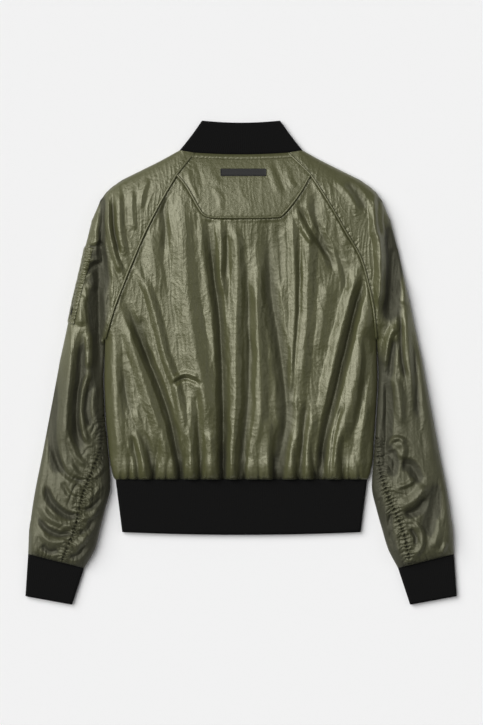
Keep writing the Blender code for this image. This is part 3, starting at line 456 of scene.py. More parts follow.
def tent(t, softness):
    """Straight-sided crest, 1 at t = 0 and 0 from t = 1 on, rounded at the top."""
    low = math.sqrt(softness)
    slope = (np.sqrt(t**2 + softness) - low) / (math.sqrt(1 + softness) - low)
    return np.maximum(0.0, 1 - slope)


def fold_height(p, folds):
    """Sum of the folds: each is a crest or furrow along its line that dies away at both ends."""
    height = np.zeros(p.shape[:-1])
    for number, fold in enumerate(folds):
        line = bent_line(fold)
        low, high = line.min(axis=0) - 3.5 * fold.width, line.max(axis=0) + 3.5 * fold.width
        near = np.all((p > low) & (p < high), axis=-1)
        if not near.any():
            continue
        q = p[near]
        best = np.full(len(q), 1e9)
        place = np.zeros(len(q))
        for k, (a, b) in enumerate(zip(line, line[1:])):
            run = b - a
            share = np.clip(((q - a) @ run) / (run @ run), 0, 1)
            gap = np.linalg.norm(q - a - share[:, None] * run, axis=-1)
            closer = gap < best
            best = np.where(closer, gap, best)
            place = np.where(closer, (k + share) / (len(line) - 1), place)
        end_x, end_y = fold.points[-1]
        into_hem = end_y < HEM_Y and abs(end_x) < HEM_HALF
        tail = 1.0 if into_hem else smooth((1 - place) / 0.2)
        ends = 0.15 + 0.85 * smooth(place / 0.2) * tail
        wander = 1 + 0.16 * noise(q[:, 0] / 34 + number * 3.7, q[:, 1] / 26)
        crest = tent(best / (1.5 * fold.width * wander), 0.05 if fold.height > 0 else 0.01)
        strength = CREST_STRENGTH if fold.height > 0 else FURROW_STRENGTH
        height[near] += strength * fold.height * crest * ends
    return height


class Region:
    """The body or one sleeve: where its folds and its bands are, and how high it stands."""

    def __init__(self, outlines, bands):
        self.outlines = outlines
        self.bands = bands

    def band(self, p):
        return np.min([line_distance(p, line) for line in self.bands], axis=0)

    def share(self, p):
        """0 at a band, 1 well away from every band."""
        collar = ease((collar_seam_y(p[..., 0]) - p[..., 1]) / 80)
        return np.minimum(collar, rise(self.band(p) / 60))

    def fold(self, p):
        return BAND_FOLD + (FOLD_HIGH - BAND_FOLD) * self.share(p)

    def curl(self, p):
        return BAND_CURL + (FOLD_CURL - BAND_CURL) * self.share(p)

    def top(self, p, detail):
        reach = BAND_REACH + (FOLD_REACH - BAND_REACH) * self.share(p)
        crown = SLEEVE_CROWN + BODY_CROWN * np.exp(-((p[..., 0] / CROWN_WIDTH) ** 2))
        bulge = ease((collar_seam_y(p[..., 0]) - p[..., 1]) / COLLAR_EASE) * rise(self.band(p) / HEM_BULGE)
        plateau = RIB_TOP + (crown - RIB_TOP) * bulge
        rises = np.ones(p.shape[:-1])
        for line in self.outlines:
            rises = rises * rise(line_distance(p, line) / reach)
        fold = self.fold(p)
        return fold + (plateau - fold + detail * (0.25 + 0.75 * bulge)) * rises

    def under(self, p):
        near = np.min([line_distance(p, line) for line in self.outlines], axis=0)
        return self.fold(p) * (1 - rise(near / self.curl(p)))


HEM_LINE = np.array([(-214, HEM_Y), (215.2, HEM_Y)])
BODY = Region([OUTLINES[-1], OUTLINES[1], BODY_SIDES[-1], BODY_SIDES[1]], [HEM_LINE])
SLEEVES = {
    side: Region(
        [OUTLINES[side], INNER_SIDES[side]],
        [np.array([(side * CUFF_TOP_OUT[0], CUFF_TOP_OUT[1]), (side * CUFF_TOP_IN[0], CUFF_TOP_IN[1])])],
    )
    for side in (-1, 1)
}


def steps_between(keys):
    heights = []
    for (start, steps), (end, _) in zip(keys, keys[1:]):
        heights += [start + (end - start) * i / steps for i in range(steps)]
    return np.array(heights + [keys[-1][0]])


def row_heights(side, column, count):
    """Heights of count + 1 rows that run as the sleeve's rows do, from the collar to the cuff."""
    keys = SLEEVE_ROWS[side]
    heights = steps_between([(getattr(row, column), row.steps) for row in keys])
    return np.interp(np.linspace(0, len(heights) - 1, count + 1), np.arange(len(heights)), heights)


def row_share(side, key):
    """Where a key row of the sleeve lies, as a share of all its rows."""
    steps = [row.steps for row in SLEEVE_ROWS[side]]
    return sum(steps[:key]) / sum(steps)


def yoke_curve(shares):
    left = edge_points(RAGLAN, -1, YOKE_TIP_Y)[0]
    right = edge_points(RAGLAN, 1, YOKE_TIP_Y)[0]
    return even_curve([tuple(left), *YOKE_LINE, tuple(right)], shares)


def coons(top, bottom, left, right):
    """Grid of plan points between four edges, given as arrays of points."""
    cols, rows = len(top), len(left)
    u = np.linspace(0, 1, cols)[None, :, None]
    v = ((left[0, 1] - left[:, 1]) / (left[0, 1] - left[-1, 1]))[:, None, None]
    across = top[None] * (1 - v) + bottom[None] * v
    down = left[:, None] * (1 - u) + right[:, None] * u
    corners = (left[0] * (1 - u) + right[0] * u) * (1 - v) + (left[-1] * (1 - u) + right[-1] * u) * v
    return (across + down - corners).reshape(rows, cols, 2)


def ruled(left, right, shares):
    u = np.asarray(shares)[None, :, None]
    return left[:, None] * (1 - u) + right[:, None] * u


def straight(a, b, shares):
    u = np.asarray(shares)[:, None]
    return a * (1 - u) + b * u


def edge_normals(points, toward):
    """Unit vectors square to a line of points, toward the given points."""
    run = np.gradient(points, axis=0)
    normal = np.stack([-run[:, 1], run[:, 0]], axis=1)
    normal /= np.linalg.norm(normal, axis=1, keepdims=True)
    flip = np.sum(normal * (toward - points), axis=1) < 0
    normal[flip] *= -1
    return normal


def curl_points(region, points, toward, angles, share):
    """Points that carry a piece round its folded edge, one column for each angle below the edge."""
    normal = edge_normals(points, toward)
    fold, curl = region.fold(points), region.curl(points)
    columns = []
    for angle in angles:
        now = angle * share
        plan = points + normal * (curl * (1 - np.cos(now)))[:, None]
        columns.append(np.column_stack([plan, fold * (1 - np.sin(now))]))
    return columns


def with_height(plan, z):
    return np.concatenate([plan, z[..., None]], axis=-1)


# ---- meshes ----------------------------------------------------------------------------------


def grid_object(name, grid, up, closed=False, skip=None, hollow=None):
    """Smooth mesh of a grid of points, with a UV map in metres along its grid.

    hollow gives, from 0 to 1, how much painted shade each point carries: the nylon material darkens its
    colour by it to stand for shade in creases, gathers, crevices and over the lower sleeves.
    """
    rows, cols = grid.shape[:2]
    index = np.arange(rows * cols).reshape(rows, cols)
    across = np.hstack([index, index[:, :1]]) if closed else index
    a, b, c, d = across[:-1, :-1], across[1:, :-1], across[1:, 1:], across[:-1, 1:]
    quads = np.stack([a, b, c, d] if up else [d, c, b, a], axis=-1)
    if skip is not None:
        quads = quads[~skip]
    quads = quads.reshape(-1, 4)
    mesh = bpy.data.meshes.new(name)
    mesh.from_pydata((grid.reshape(-1, 3) * MM).tolist(), [], quads.tolist())
    down = np.linalg.norm(np.diff(grid, axis=0), axis=-1).mean(axis=1)
    side = np.linalg.norm(np.diff(grid, axis=1), axis=-1).mean(axis=0)
    v = np.concatenate([[0], np.cumsum(down)]) * MM
    u = np.concatenate([[0], np.cumsum(side)]) * MM
    where = np.stack(np.meshgrid(u, v), axis=-1).reshape(-1, 2)
    layer = mesh.uv_layers.new(name="cut")
    loops = np.empty(len(mesh.loops), int)
    mesh.loops.foreach_get("vertex_index", loops)
    layer.data.foreach_set("uv", where[loops].ravel())
    # The hollow attribute is painted shade: the nylon material darkens its colour by it.
    if hollow is not None:
        deep = mesh.attributes.new("hollow", "FLOAT", "POINT")
        deep.data.foreach_set("value", np.asarray(hollow, np.float32).ravel())
    mesh.validate()
    mesh.shade_smooth()
    obj = bpy.data.objects.new(name, mesh)
    bpy.context.scene.collection.objects.link(obj)
    return obj


def dress(obj, look, nodes=(), body="jacket"):
    obj.data.materials.append(look)
    if nodes:
        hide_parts(*nodes)
    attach(obj, body)
    return obj


# ---- materials -------------------------------------------------------------------------------


def new_material(name):
    made = bpy.data.materials.new(name)
    made.use_nodes = True
    nodes = made.node_tree.nodes
    return made, nodes, made.node_tree.links, nodes["Principled BSDF"]


def add_noise(nodes, links, vector, scale, detail=4.0, roughness=0.5):
    made = nodes.new("ShaderNodeTexNoise")
    made.inputs["Scale"].default_value = scale
    made.inputs["Detail"].default_value = detail
    made.inputs["Roughness"].default_value = roughness
    links.new(vector, made.inputs["Vector"])
    return made.outputs["Fac"]


def add_math(nodes, links, operation, a, b):
    made = nodes.new("ShaderNodeMath")
    made.operation = operation
    for socket, value in zip(made.inputs, (a, b)):
        if hasattr(value, "links"):
            links.new(value, socket)
        else:
            socket.default_value = value
    return made.outputs[0]


def add_ramp(nodes, links, fac, stops):
    made = nodes.new("ShaderNodeValToRGB")
    ramp = made.color_ramp
    while len(ramp.elements) < len(stops):
        ramp.elements.new(0.5)
    for element, (place, color) in zip(ramp.elements, stops):
        element.position = place
        element.color = (*color, 1)
    links.new(fac, made.inputs["Fac"])
    return made.outputs["Color"]


def add_bump(nodes, links, height, strength, distance, normal=None):
    made = nodes.new("ShaderNodeBump")
    made.inputs["Strength"].default_value = strength
    made.inputs["Distance"].default_value = distance
    links.new(height, made.inputs["Height"])
    if normal is not None:
        links.new(normal, made.inputs["Normal"])
    return made.outputs["Normal"]


def scaled(nodes, links, vector, scale):
    made = nodes.new("ShaderNodeMapping")
    made.inputs["Scale"].default_value = scale
    links.new(vector, made.inputs["Vector"])
    return made.outputs["Vector"]


def nylon_material():
    """Thin olive nylon: glossy, finely crinkled, with a close weave, its colour darkened by painted shade
    where the hollow attribute is set.
    """
    made, nodes, links, shader = new_material("olive_nylon")
    place = nodes.new("ShaderNodeTexCoord").outputs["Object"]
    long = scaled(nodes, links, place, (1, 0.4, 1))
    short = scaled(nodes, links, place, (0.8, 1.1, 1))
    drift = add_noise(nodes, links, place, 9.0, 3.0)
    streak = add_noise(nodes, links, long, 70.0, 5.0, 0.6)
    tone = add_math(nodes, links, "ADD", add_math(nodes, links, "MULTIPLY", drift, 0.6),
                    add_math(nodes, links, "MULTIPLY", streak, 0.4))
    stops = [(0.30, (0.062, 0.063, 0.024)), (0.52, (0.074, 0.075, 0.032)), (0.72, (0.088, 0.088, 0.043))]
    color = add_ramp(nodes, links, tone, stops)
    # Painted shade: the hollow attribute darkens the base colour by up to 82% and makes it rougher, in
    # place of real shade in folds, gathers, crevices and the lower sleeves.
    hollow = nodes.new("ShaderNodeAttribute")
    hollow.attribute_name = "hollow"
    darker = add_math(nodes, links, "MULTIPLY", hollow.outputs["Fac"], 0.82)
    keep = add_math(nodes, links, "SUBTRACT", 1.0, darker)
    deep = nodes.new("ShaderNodeVectorMath")
    deep.operation = "SCALE"
    links.new(color, deep.inputs[0])
    links.new(keep, deep.inputs["Scale"])
    links.new(deep.outputs["Vector"], shader.inputs["Base Color"])
    rough = nodes.new("ShaderNodeMapRange")
    rough.inputs["To Min"].default_value = 0.32
    rough.inputs["To Max"].default_value = 0.42
    links.new(streak, rough.inputs["Value"])
    dull = add_math(nodes, links, "MULTIPLY", hollow.outputs["Fac"], 0.30)
    links.new(add_math(nodes, links, "ADD", rough.outputs["Result"], dull), shader.inputs["Roughness"])
    shader.inputs["Specular IOR Level"].default_value = 1.0
    shader.inputs["Specular Tint"].default_value = (1.0, 0.98, 0.76, 1)
    shader.inputs["Sheen Weight"].default_value = 0.05
    shader.inputs["Sheen Roughness"].default_value = 0.4
    ripple = add_noise(nodes, links, short, 190.0, 5.0, 0.62)
    first = add_bump(nodes, links, ripple, 0.5, 0.0012)
    scratch = add_noise(nodes, links, long, 420.0, 3.0, 0.6)
    second = add_bump(nodes, links, scratch, 0.5, 0.0005, first)
    weave = nodes.new("ShaderNodeTexNoise")
    weave.inputs["Scale"].default_value = 1800.0
    links.new(place, weave.inputs["Vector"])
    third = add_bump(nodes, links, weave.outputs["Fac"], 0.35, 0.00015, second)
    links.new(third, shader.inputs["Normal"])
    return made


def knit_material():
    """Fine black rib knit."""
    made, nodes, links, shader = new_material("black_knit")
    place = nodes.new("ShaderNodeTexCoord").outputs["UV"]
    fuzz = add_noise(nodes, links, place, 900.0, 4.0, 0.7)
    stops = [(0.3, (0.0030, 0.0030, 0.0030)), (0.75, (0.0075, 0.0074, 0.0072))]
    color = add_ramp(nodes, links, fuzz, stops)
    links.new(color, shader.inputs["Base Color"])
    shader.inputs["Roughness"].default_value = 0.9
    shader.inputs["Specular IOR Level"].default_value = 0.10
    shader.inputs["Sheen Weight"].default_value = 0.02
    wave = nodes.new("ShaderNodeTexWave")
    wave.bands_direction = "Y"
    wave.inputs["Scale"].default_value = 260.0
    wave.inputs["Distortion"].default_value = 0.4
    links.new(place, wave.inputs["Vector"])
    rows = add_bump(nodes, links, wave.outputs["Fac"], 0.25, 0.0006)
    links.new(add_bump(nodes, links, fuzz, 0.3, 0.0006, rows), shader.inputs["Normal"])
    return made


def plain_material(name, color, roughness, metallic=0.0, grain=500.0):
    made, nodes, links, shader = new_material(name)
    place = nodes.new("ShaderNodeTexCoord").outputs["Object"]
    speck = add_noise(nodes, links, place, grain, 3.0, 0.6)
    dark = tuple(c * 0.75 for c in color)
    light = tuple(c * 1.25 for c in color)
    links.new(add_ramp(nodes, links, speck, [(0.35, dark), (0.65, light)]), shader.inputs["Base Color"])
    shader.inputs["Roughness"].default_value = roughness
    shader.inputs["Metallic"].default_value = metallic
    links.new(add_bump(nodes, links, speck, 0.2, 0.0004), shader.inputs["Normal"])
    return made


NYLON = nylon_material()
KNIT = knit_material()
PATCH = plain_material("dark_patch", (0.0040, 0.0040, 0.0034), 0.60, grain=900.0)
TAPE = plain_material("black_tape", (0.010, 0.010, 0.010), 0.8, grain=1400.0)
TEETH = plain_material("black_teeth", (0.014, 0.014, 0.014), 0.4)
METAL = plain_material("black_metal", (0.030, 0.030, 0.030), 0.34, 0.85)

# ---- cloth detail ----------------------------------------------------------------------------


def lobes(p):
    """1 on the rounded cloth between the hem's gathers, less in the gathers."""
    up = p[..., 1] - HEM_Y
    hollow = np.zeros(p.shape[:-1])
    for gather in HEM_GATHERS:
        across = (p[..., 0] - gather.x - gather.lean * up) / (gather.width * 0.9)
        hollow = np.maximum(hollow, gather.depth / 4.4 * np.exp(-(across**2)))
    return 1 - hollow


def gather_height(p):
    """Troughs that run up from the hem seam, with rounded cloth standing between them."""
    up = p[..., 1] - HEM_Y
    height = np.zeros(p.shape[:-1])
    for gather in HEM_GATHERS:
        wander = 1.6 * noise(up / 16 + gather.x, up * 0 + 0.5)
        across = (p[..., 0] - gather.x - gather.lean * up - wander) / (0.8 * gather.width * (1 + up / 45))
        fade = np.exp(-((up / gather.length) ** 1.5))
        height -= 1.9 * gather.depth * np.exp(-(np.abs(across) ** 1.5)) * fade
    return height + 4.0 * np.exp(-(((up - 15) / 16) ** 2))


def overhang(p):
    """How far the cloth between the gathers hangs over the top of the hem."""
    up = p[..., 1] - HEM_Y
    return 5.0 * np.sin(np.pi * np.clip(up / 20, 0, 1)) ** 0.8 * lobes(p)


def along_line(p, line):
    """Distance from a line and place along it, for each point."""
    best = np.full(p.shape[:-1], 1e9)
    place = np.zeros(p.shape[:-1])
    travelled = 0.0
    for a, b in zip(line, line[1:]):
        run = b - a
        length = np.linalg.norm(run)
        share = np.clip(((p - a) @ run) / (run @ run), 0, 1)
        gap = np.linalg.norm(p - a - share[..., None] * run, axis=-1)
        closer = gap < best
        best = np.where(closer, gap, best)
        place = np.where(closer, travelled + share * length, place)
        travelled += length
    return best, place


def pucker_height(p, line, pitch, reach, depth, seed):
    """Short creases square to a seam, uneven in pitch and length."""
    best, place = along_line(p, line)
    drift = 0.9 * noise(place / 31 + seed, best * 0 + seed)
    phase = place / pitch + drift + 0.35 * noise(best / 9, place / 12 + seed)
    size = 0.55 + 0.9 * np.abs(noise(place / 17 + seed, best * 0 + 3.3))
    fade = np.exp(-((best / (reach * size)) ** 1.4))
    crest = 1 - 2 * np.abs(np.sin(np.pi * phase)) ** 0.7
    return -depth * crest * fade * size


def ruching_height(p, line, toward, seed):
    """Cloth drawn up on a seam: tight puckers that lock across it, and a few longer bent drag folds."""
    best, place = along_line(p, line)
    bend = toward * (best / 16) ** 2 * 0.8
    wander = 0.4 * noise(place / 9 + seed, best / 6)
    phase = place / 6.8 + 0.8 * noise(place / 29 + seed, best * 0 + seed) + bend + wander
    near = np.exp(-((best / 8.5) ** 1.6)) * (0.5 + 0.9 * np.abs(noise(place / 13, best * 0 + seed)))
    tight = (1 - 2 * np.abs(np.sin(np.pi * phase)) ** 0.6) * near
    slow = place / 26 + 0.9 * noise(place / 41 + seed, best / 26 + 1.7) + 0.5 * bend
    where = np.clip(noise(place / 27 + 8, best / 34 + seed) + 0.15, 0, 1)
    far = np.exp(-(((best - 14) / 12) ** 2)) * 1.3 * where
    drag = (1 - 2 * np.abs(np.sin(np.pi * slow)) ** 0.8) * far
    groove = np.exp(-((best / 2.2) ** 2)) * (0.7 + 0.5 * np.cos(2 * np.pi * phase))
    return -3.9 * tight - 2.2 * drag - 2.8 * groove


RAGLAN_LINES = {side: edge_line(RAGLAN, side, 40) for side in (-1, 1)}
ELBOW_LINES = {side: edge_line(ELBOW_SEAMS[side], side, 24) for side in (-1, 1)}
HEM_SEAM = np.array([(-HEM_HALF, HEM_Y), (HEM_HALF, HEM_Y)])
HEM_PUCKERS = 9, 11, 2.1, 61.0  # pitch, reach, depth and seed
INNER_LINES = {side: edge_line(SLEEVE_INNER, side, 24) for side in (-1, 1)}
YOKE_CURVE_LINE = yoke_curve(np.linspace(0, 1, 60))


def seam_groove(p, line, depth):
    """The cloth dips at a seam."""
    return -depth * np.exp(-((line_distance(p, line) / 3.0) ** 2))


def seam_puckers(p, depth=0.7):
    height = np.zeros(p.shape[:-1])
    for side in (-1, 1):
        height += pucker_height(p, RAGLAN_LINES[side], 10, 9, 0.5, 3.1 + side)
        height += seam_groove(p, RAGLAN_LINES[side], depth)
    height += seam_groove(p, YOKE_CURVE_LINE, depth)
    return height + pucker_height(p, YOKE_CURVE_LINE, 11, 9, 0.5, 9.7)


def seam_calm(p):
    """0 on the raglan and yoke seams, 1 a little way off, so that both sides of a seam meet."""
    lines = [RAGLAN_LINES[-1], RAGLAN_LINES[1], YOKE_CURVE_LINE]
    return smooth(np.min([line_distance(p, line) for line in lines], axis=0) / 10)


def body_detail(p):
    x, y = p[..., 0], p[..., 1]
    calm = seam_calm(p)
    folds = fold_height(p, BODY_FOLDS) * calm
    lower = -HEM_SINK * (1 - ease((y - HEM_Y) / HEM_SINK_REACH))
    puckers = seam_puckers(p, 2.6) + pucker_height(p, HEM_SEAM, *HEM_PUCKERS)
    return folds - DETAIL_DROP * calm + lower + gather_height(p) + puckers + 0.45 * crinkle(x, y)


def sleeve_detail(p, side):
    x, y = p[..., 0], p[..., 1]
    detail = fold_height(p, folds_of(side)) * seam_calm(p)
    detail += ruching(p, side)
    detail += pucker_height(p, SLEEVES[side].bands[0], 9, 15, 1.6, 41.3 + side)
    return detail + seam_puckers(p) + 0.45 * crinkle(x, y)


def near_crotch(y):
    """0 at the underarm and above it, 1 where the folded edges have formed."""
    return np.clip((CROTCH_Y - y) / CROTCH_RUN, 0, 1)


def folds_of(side):
    return [fold for fold in SLEEVE_FOLDS if fold.points[0][0] * side > 0]


def ruching(p, side):
    return ruching_height(p, ELBOW_LINES[side], -1, 21.3 + side)


def body_painted_shade(p):
    """How much painted shade each point of the back gets, from how deep it lies in a fold or a hem gather,
    more toward the hem.
    """
    deep = np.clip(-fold_height(p, BODY_FOLDS) / 7, 0, 1) ** 1.3 * seam_calm(p)
    deep *= 0.55 + 0.4 * smooth((-50 - p[..., 1]) / 180)
    gathers = np.clip(-gather_height(p) / 7, 0, 1) * np.clip(1 - (p[..., 1] - HEM_Y) / 60, 0, 1)
    puckers = np.clip(-pucker_height(p, HEM_SEAM, *HEM_PUCKERS) / 2, 0, 1)
    return np.clip(deep + 0.8 * gathers + 0.5 * puckers, 0, 1)


def sleeve_painted_shade(p, side):
    """The same painted shade on a sleeve: its folds, its ruched seam and the crevice beside the back, plus
    an even painted shade over its lower part.
    """
    deep = np.clip(-fold_height(p, folds_of(side)) / 5.5, 0, 1) ** 1.2 * seam_calm(p)
    ruched = np.clip(-ruching(p, side) / 4, 0, 1)
    crevice = np.exp(-((line_distance(p, INNER_LINES[side]) / 13) ** 2)) * near_crotch(p[..., 1])
    # Painted shade over the whole lower sleeve, tied to no crease.
    shade = 0.56 * smooth((60 - p[..., 1]) / 120)
    return np.clip(deep + 0.85 * ruched + 0.9 * crevice + shade, 0, 1)


# ---- nylon pieces ----------------------------------------------------------------------------

BACK_ROWS, BACK_COLS = 300, 290


def back_edges(count):
    """Left and right edges of the back: raglan seam, then the folded side."""
    raglan_rows = int(count * 0.55)
    ys = np.concatenate([np.linspace(YOKE_TIP_Y, CROTCH_Y, raglan_rows + 1),
                         np.linspace(CROTCH_Y, HEM_Y, count - raglan_rows + 1)[1:]])
    edges = {}
    for side in (-1, 1):
        seam = edge_points(RAGLAN, side, ys[: raglan_rows + 1])
        fold = edge_points(BODY_EDGE, side, ys[raglan_rows + 1 :])
        edges[side] = np.vstack([seam, fold])
    return edges, raglan_rows


CURL_STEPS = 3
CURL_ANGLES = [UNDER_ANGLE * (k + 1) / CURL_STEPS for k in range(CURL_STEPS)]


def back_panel():
    edges, crotch = back_edges(BACK_ROWS)
    shares = np.linspace(0, 1, BACK_COLS + 1)
    hem = straight(edges[-1][-1], edges[1][-1], shares)
    plan = coons(yoke_curve(shares), hem, edges[-1], edges[1])
    grid = with_height(plan, BODY.top(plan, body_detail(plan)))
    grid[..., 1] -= overhang(plan)
    share = np.where(np.arange(BACK_ROWS + 1) > crotch, near_crotch(plan[:, 0, 1]), 0)
    left = curl_points(BODY, plan[:, 0], plan[:, 1], CURL_ANGLES, share)
    right = curl_points(BODY, plan[:, -1], plan[:, -2], CURL_ANGLES, share)
    for columns, edge in ((left, 0), (right, -1)):
        for column in columns:
            column[: crotch + 1] = grid[: crotch + 1, edge]
    parts = [np.stack(left[::-1], axis=1), grid, np.stack(right, axis=1)]
    full = np.concatenate(parts, axis=1)
    skip = np.zeros((BACK_ROWS, full.shape[1] - 1), bool)
    skip[:crotch, :CURL_STEPS] = True
    skip[:crotch, -CURL_STEPS:] = True
    # Painted shade for the back's colour, widened over the folded edges.
    hollow = np.pad(body_painted_shade(plan), ((0, 0), (CURL_STEPS, CURL_STEPS)), "edge")
    piece = grid_object("back_panel_cloth", full, up=True, skip=skip, hollow=hollow)
    dress(piece, NYLON, ["back_panel"])


def collar_line(y, shares):
    """From raglan seam to raglan seam at y, with the dip of the collar seam."""
    line = straight(edge_points(RAGLAN, -1, y)[0], edge_points(RAGLAN, 1, y)[0], shares)
    line[:, 1] -= COLLAR_DIP * (1 - (2 * shares - 1) ** 2)
    return line


def back_yoke():
    rows, cols = 90, 200
    shares = np.linspace(0, 1, cols + 1)
    ys = np.linspace(YOKE_TOP_Y, YOKE_TIP_Y, rows + 1)
    sides = [edge_points(RAGLAN, side, ys) for side in (-1, 1)]
    plan = coons(collar_line(YOKE_TOP_Y, shares), yoke_curve(shares), *sides)
    detail = seam_puckers(plan) + 0.22 * crinkle(plan[..., 0], plan[..., 1])
    detail += 0.45 * fold_height(plan, YOKE_FOLDS) * seam_calm(plan)
    piece = grid_object("back_yoke_cloth", with_height(plan, BODY.top(plan, detail)), up=True)
    dress(piece, NYLON, ["back_yoke"])


def neck_band():
    rows, cols = 14, 260
    shares = np.linspace(0, 1, cols + 1)
    v = np.linspace(0, 1, rows + 1)[:, None, None]
    plan = collar_line(COLLAR_Y, shares)[None] * (1 - v) + collar_line(YOKE_TOP_Y, shares)[None] * v
    x, down = plan[..., 0], v[..., 0]
    twist = np.sin(2 * np.pi * (x / 7 + 1.2 * down + 0.7 * noise(x / 23, down * 2)))
    calm = 0.35 + 0.65 * smooth((-x + 10) / 60)
    roll = 1.3 * np.sin(np.pi * down)
    detail = 2.2 * roll + 0.7 * twist * calm * np.sin(np.pi * down) + 0.3 * crinkle(x, plan[..., 1])
    z = BODY.top(plan, detail) + roll
    piece = grid_object("neck_band_cloth", with_height(plan, z), up=True)
    dress(piece, NYLON, ["neck_band"])


def sleeve_inner(side, count):
    """Inner edge of the upper sleeve piece, and its crotch and elbow rows."""
    ys = row_heights(side, "inner_y", count)
    crotch = round(count * row_share(side, 4))
    elbow = round(count * row_share(side, 5))
    points = edge_points(RAGLAN, side, ys)
    points[crotch + 1 :] = edge_points(SLEEVE_INNER, side, ys[crotch + 1 :])
    seam = edge_points(ELBOW_SEAMS[side], side, ys[elbow + 1 :])
    points[elbow + 1 :] = seam
    return points, crotch, elbow


SLEEVE_COUNT = 690


def sleeve_back(side):
    name = WORDS[side]
    region = SLEEVES[side]
    outer = edge_points(SILHOUETTE, side, row_heights(side, "outer_y", SLEEVE_COUNT))
    inner, crotch, elbow = sleeve_inner(side, SLEEVE_COUNT)
    shares = np.linspace(0, 1, 101)
    shares = shares - 0.55 * np.sin(2 * np.pi * shares) / (2 * np.pi)
    plan = ruled(outer, inner, shares)
    grid = with_height(plan, region.top(plan, sleeve_detail(plan, side)))
    rows = len(plan)
    outer_curl = curl_points(region, plan[:, 0], plan[:, 1], CURL_ANGLES, np.ones(rows))
    share = near_crotch(plan[:, -1, 1])
    inner_curl = curl_points(region, plan[:, -1], plan[:, -2], CURL_ANGLES, share)
    parts = [np.stack(outer_curl[::-1], axis=1), grid, np.stack(inner_curl, axis=1)]
    full = np.concatenate(parts, axis=1)
    skip = np.zeros((rows - 1, full.shape[1] - 1), bool)
    skip[:crotch, -CURL_STEPS:] = True
    skip[elbow:, -CURL_STEPS:] = True
    # Painted shade for the sleeve's colour.
    hollow = np.pad(sleeve_painted_shade(plan, side), ((0, 0), (CURL_STEPS, CURL_STEPS)), "edge")
    piece = grid_object("sleeve_back_cloth_" + name, full, up=side < 0, skip=skip, hollow=hollow)
    dress(piece, NYLON, ["sleeve_back_" + name])
    return full


def undersleeve(side):
    name = WORDS[side]
    region = SLEEVES[side]
    count = 300
    inner_ys = [row.inner_y for row in SLEEVE_ROWS[side]]
    seam = edge_points(ELBOW_SEAMS[side], side, np.linspace(inner_ys[6], inner_ys[7], count + 1))
    fold = edge_points(SLEEVE_INNER, side, np.linspace(inner_ys[5], SLEEVE_INNER[-1].y, count + 1))
    plan = ruled(seam, fold, np.linspace(0, 1, 56) ** 0.85)
    grid = with_height(plan, region.top(plan, sleeve_detail(plan, side)))
    curl = curl_points(region, plan[:, -1], plan[:, -2], CURL_ANGLES, np.ones(count + 1))
    full = np.concatenate([grid, np.stack(curl, axis=1)], axis=1)
    # Painted shade for the undersleeve's colour.
    hollow = np.pad(sleeve_painted_shade(plan, side), ((0, 0), (0, CURL_STEPS)), "edge")
    piece = grid_object("undersleeve_cloth_" + name, full, up=side < 0, hollow=hollow)
    dress(piece, NYLON, ["undersleeve_" + name])


def lower_edge(region, points, toward, share):
    """Where a lower piece starts, a little round the curl of the upper one."""
    return curl_points(region, points, toward, [UNDER_ANGLE * 0.97], share)[0]


def sleeve_front(side):
    name = WORDS[side]
    region = SLEEVES[side]
    count = 160
    outer = edge_points(SILHOUETTE, side, row_heights(side, "outer_y", count))
    ys = row_heights(side, "inner_y", count)
    crotch = round(count * row_share(side, 4))
    ends = np.interp(np.arange(count + 1), [0, crotch, count], [ys[0], CROTCH_Y, SLEEVE_INNER[-1].y])
    ends[: crotch + 1] = ys[: crotch + 1]
    inner = edge_points(RAGLAN, side, ends)
    inner[crotch + 1 :] = edge_points(SLEEVE_INNER, side, ends[crotch + 1 :])
    shares = (1 - np.cos(np.pi * np.linspace(0, 1, 33))) / 2
    plan = ruled(outer, inner, shares)
    grid = with_height(plan, region.under(plan))
    share = np.ones(count + 1)
    grid[:, 0] = lower_edge(region, plan[:, 0], plan[:, 1], share)
    inner_share = near_crotch(plan[:, -1, 1])
    grid[crotch:, -1] = lower_edge(region, plan[:, -1], plan[:, -2], inner_share)[crotch:]
    piece = grid_object("sleeve_front_cloth_" + name, grid, up=side > 0)
    dress(piece, NYLON, ["sleeve_front_" + name])


def zip_lift(x, height):
    return height * (1 - np.clip((np.abs(x) - 16) / 8, 0, 1))


def front_panel(side):
    name = WORDS[side]
    count = 150
    crotch = int(count * 0.56)
    ys = np.concatenate([np.linspace(COLLAR_Y, CROTCH_Y, crotch + 1),
                         np.linspace(CROTCH_Y, HEM_Y, count - crotch + 1)[1:]])
    edge = edge_points(RAGLAN, side, ys)
    edge[crotch + 1 :] = edge_points(BODY_EDGE, side, ys[crotch + 1 :])
    neck_y = collar_seam_y(0.0) - FRONT_DROP
    centre = np.stack([np.full(count + 1, side * ZIP_HALF), np.linspace(neck_y, HEM_Y, count + 1)], axis=1)
    shares = np.linspace(0, 1, 61)
    x = centre[0, 0] + (edge[0, 0] - centre[0, 0]) * shares
    top = np.stack([x, collar_seam_y(x) - front_drop(x)], axis=1)
    plan = coons(top, straight(centre[-1], edge[-1], shares), centre, edge)
    grid = with_height(plan, BODY.under(plan) + zip_lift(plan[..., 0], 3.0))
    share = near_crotch(edge[:, 1])
    grid[crotch:, -1] = lower_edge(BODY, edge, plan[:, -2], share)[crotch:]
    piece = grid_object("front_cloth_" + name, grid, up=side < 0)
    dress(piece, NYLON, ["front_" + name])


# ---- ribs ------------------------------------------------------------------------------------


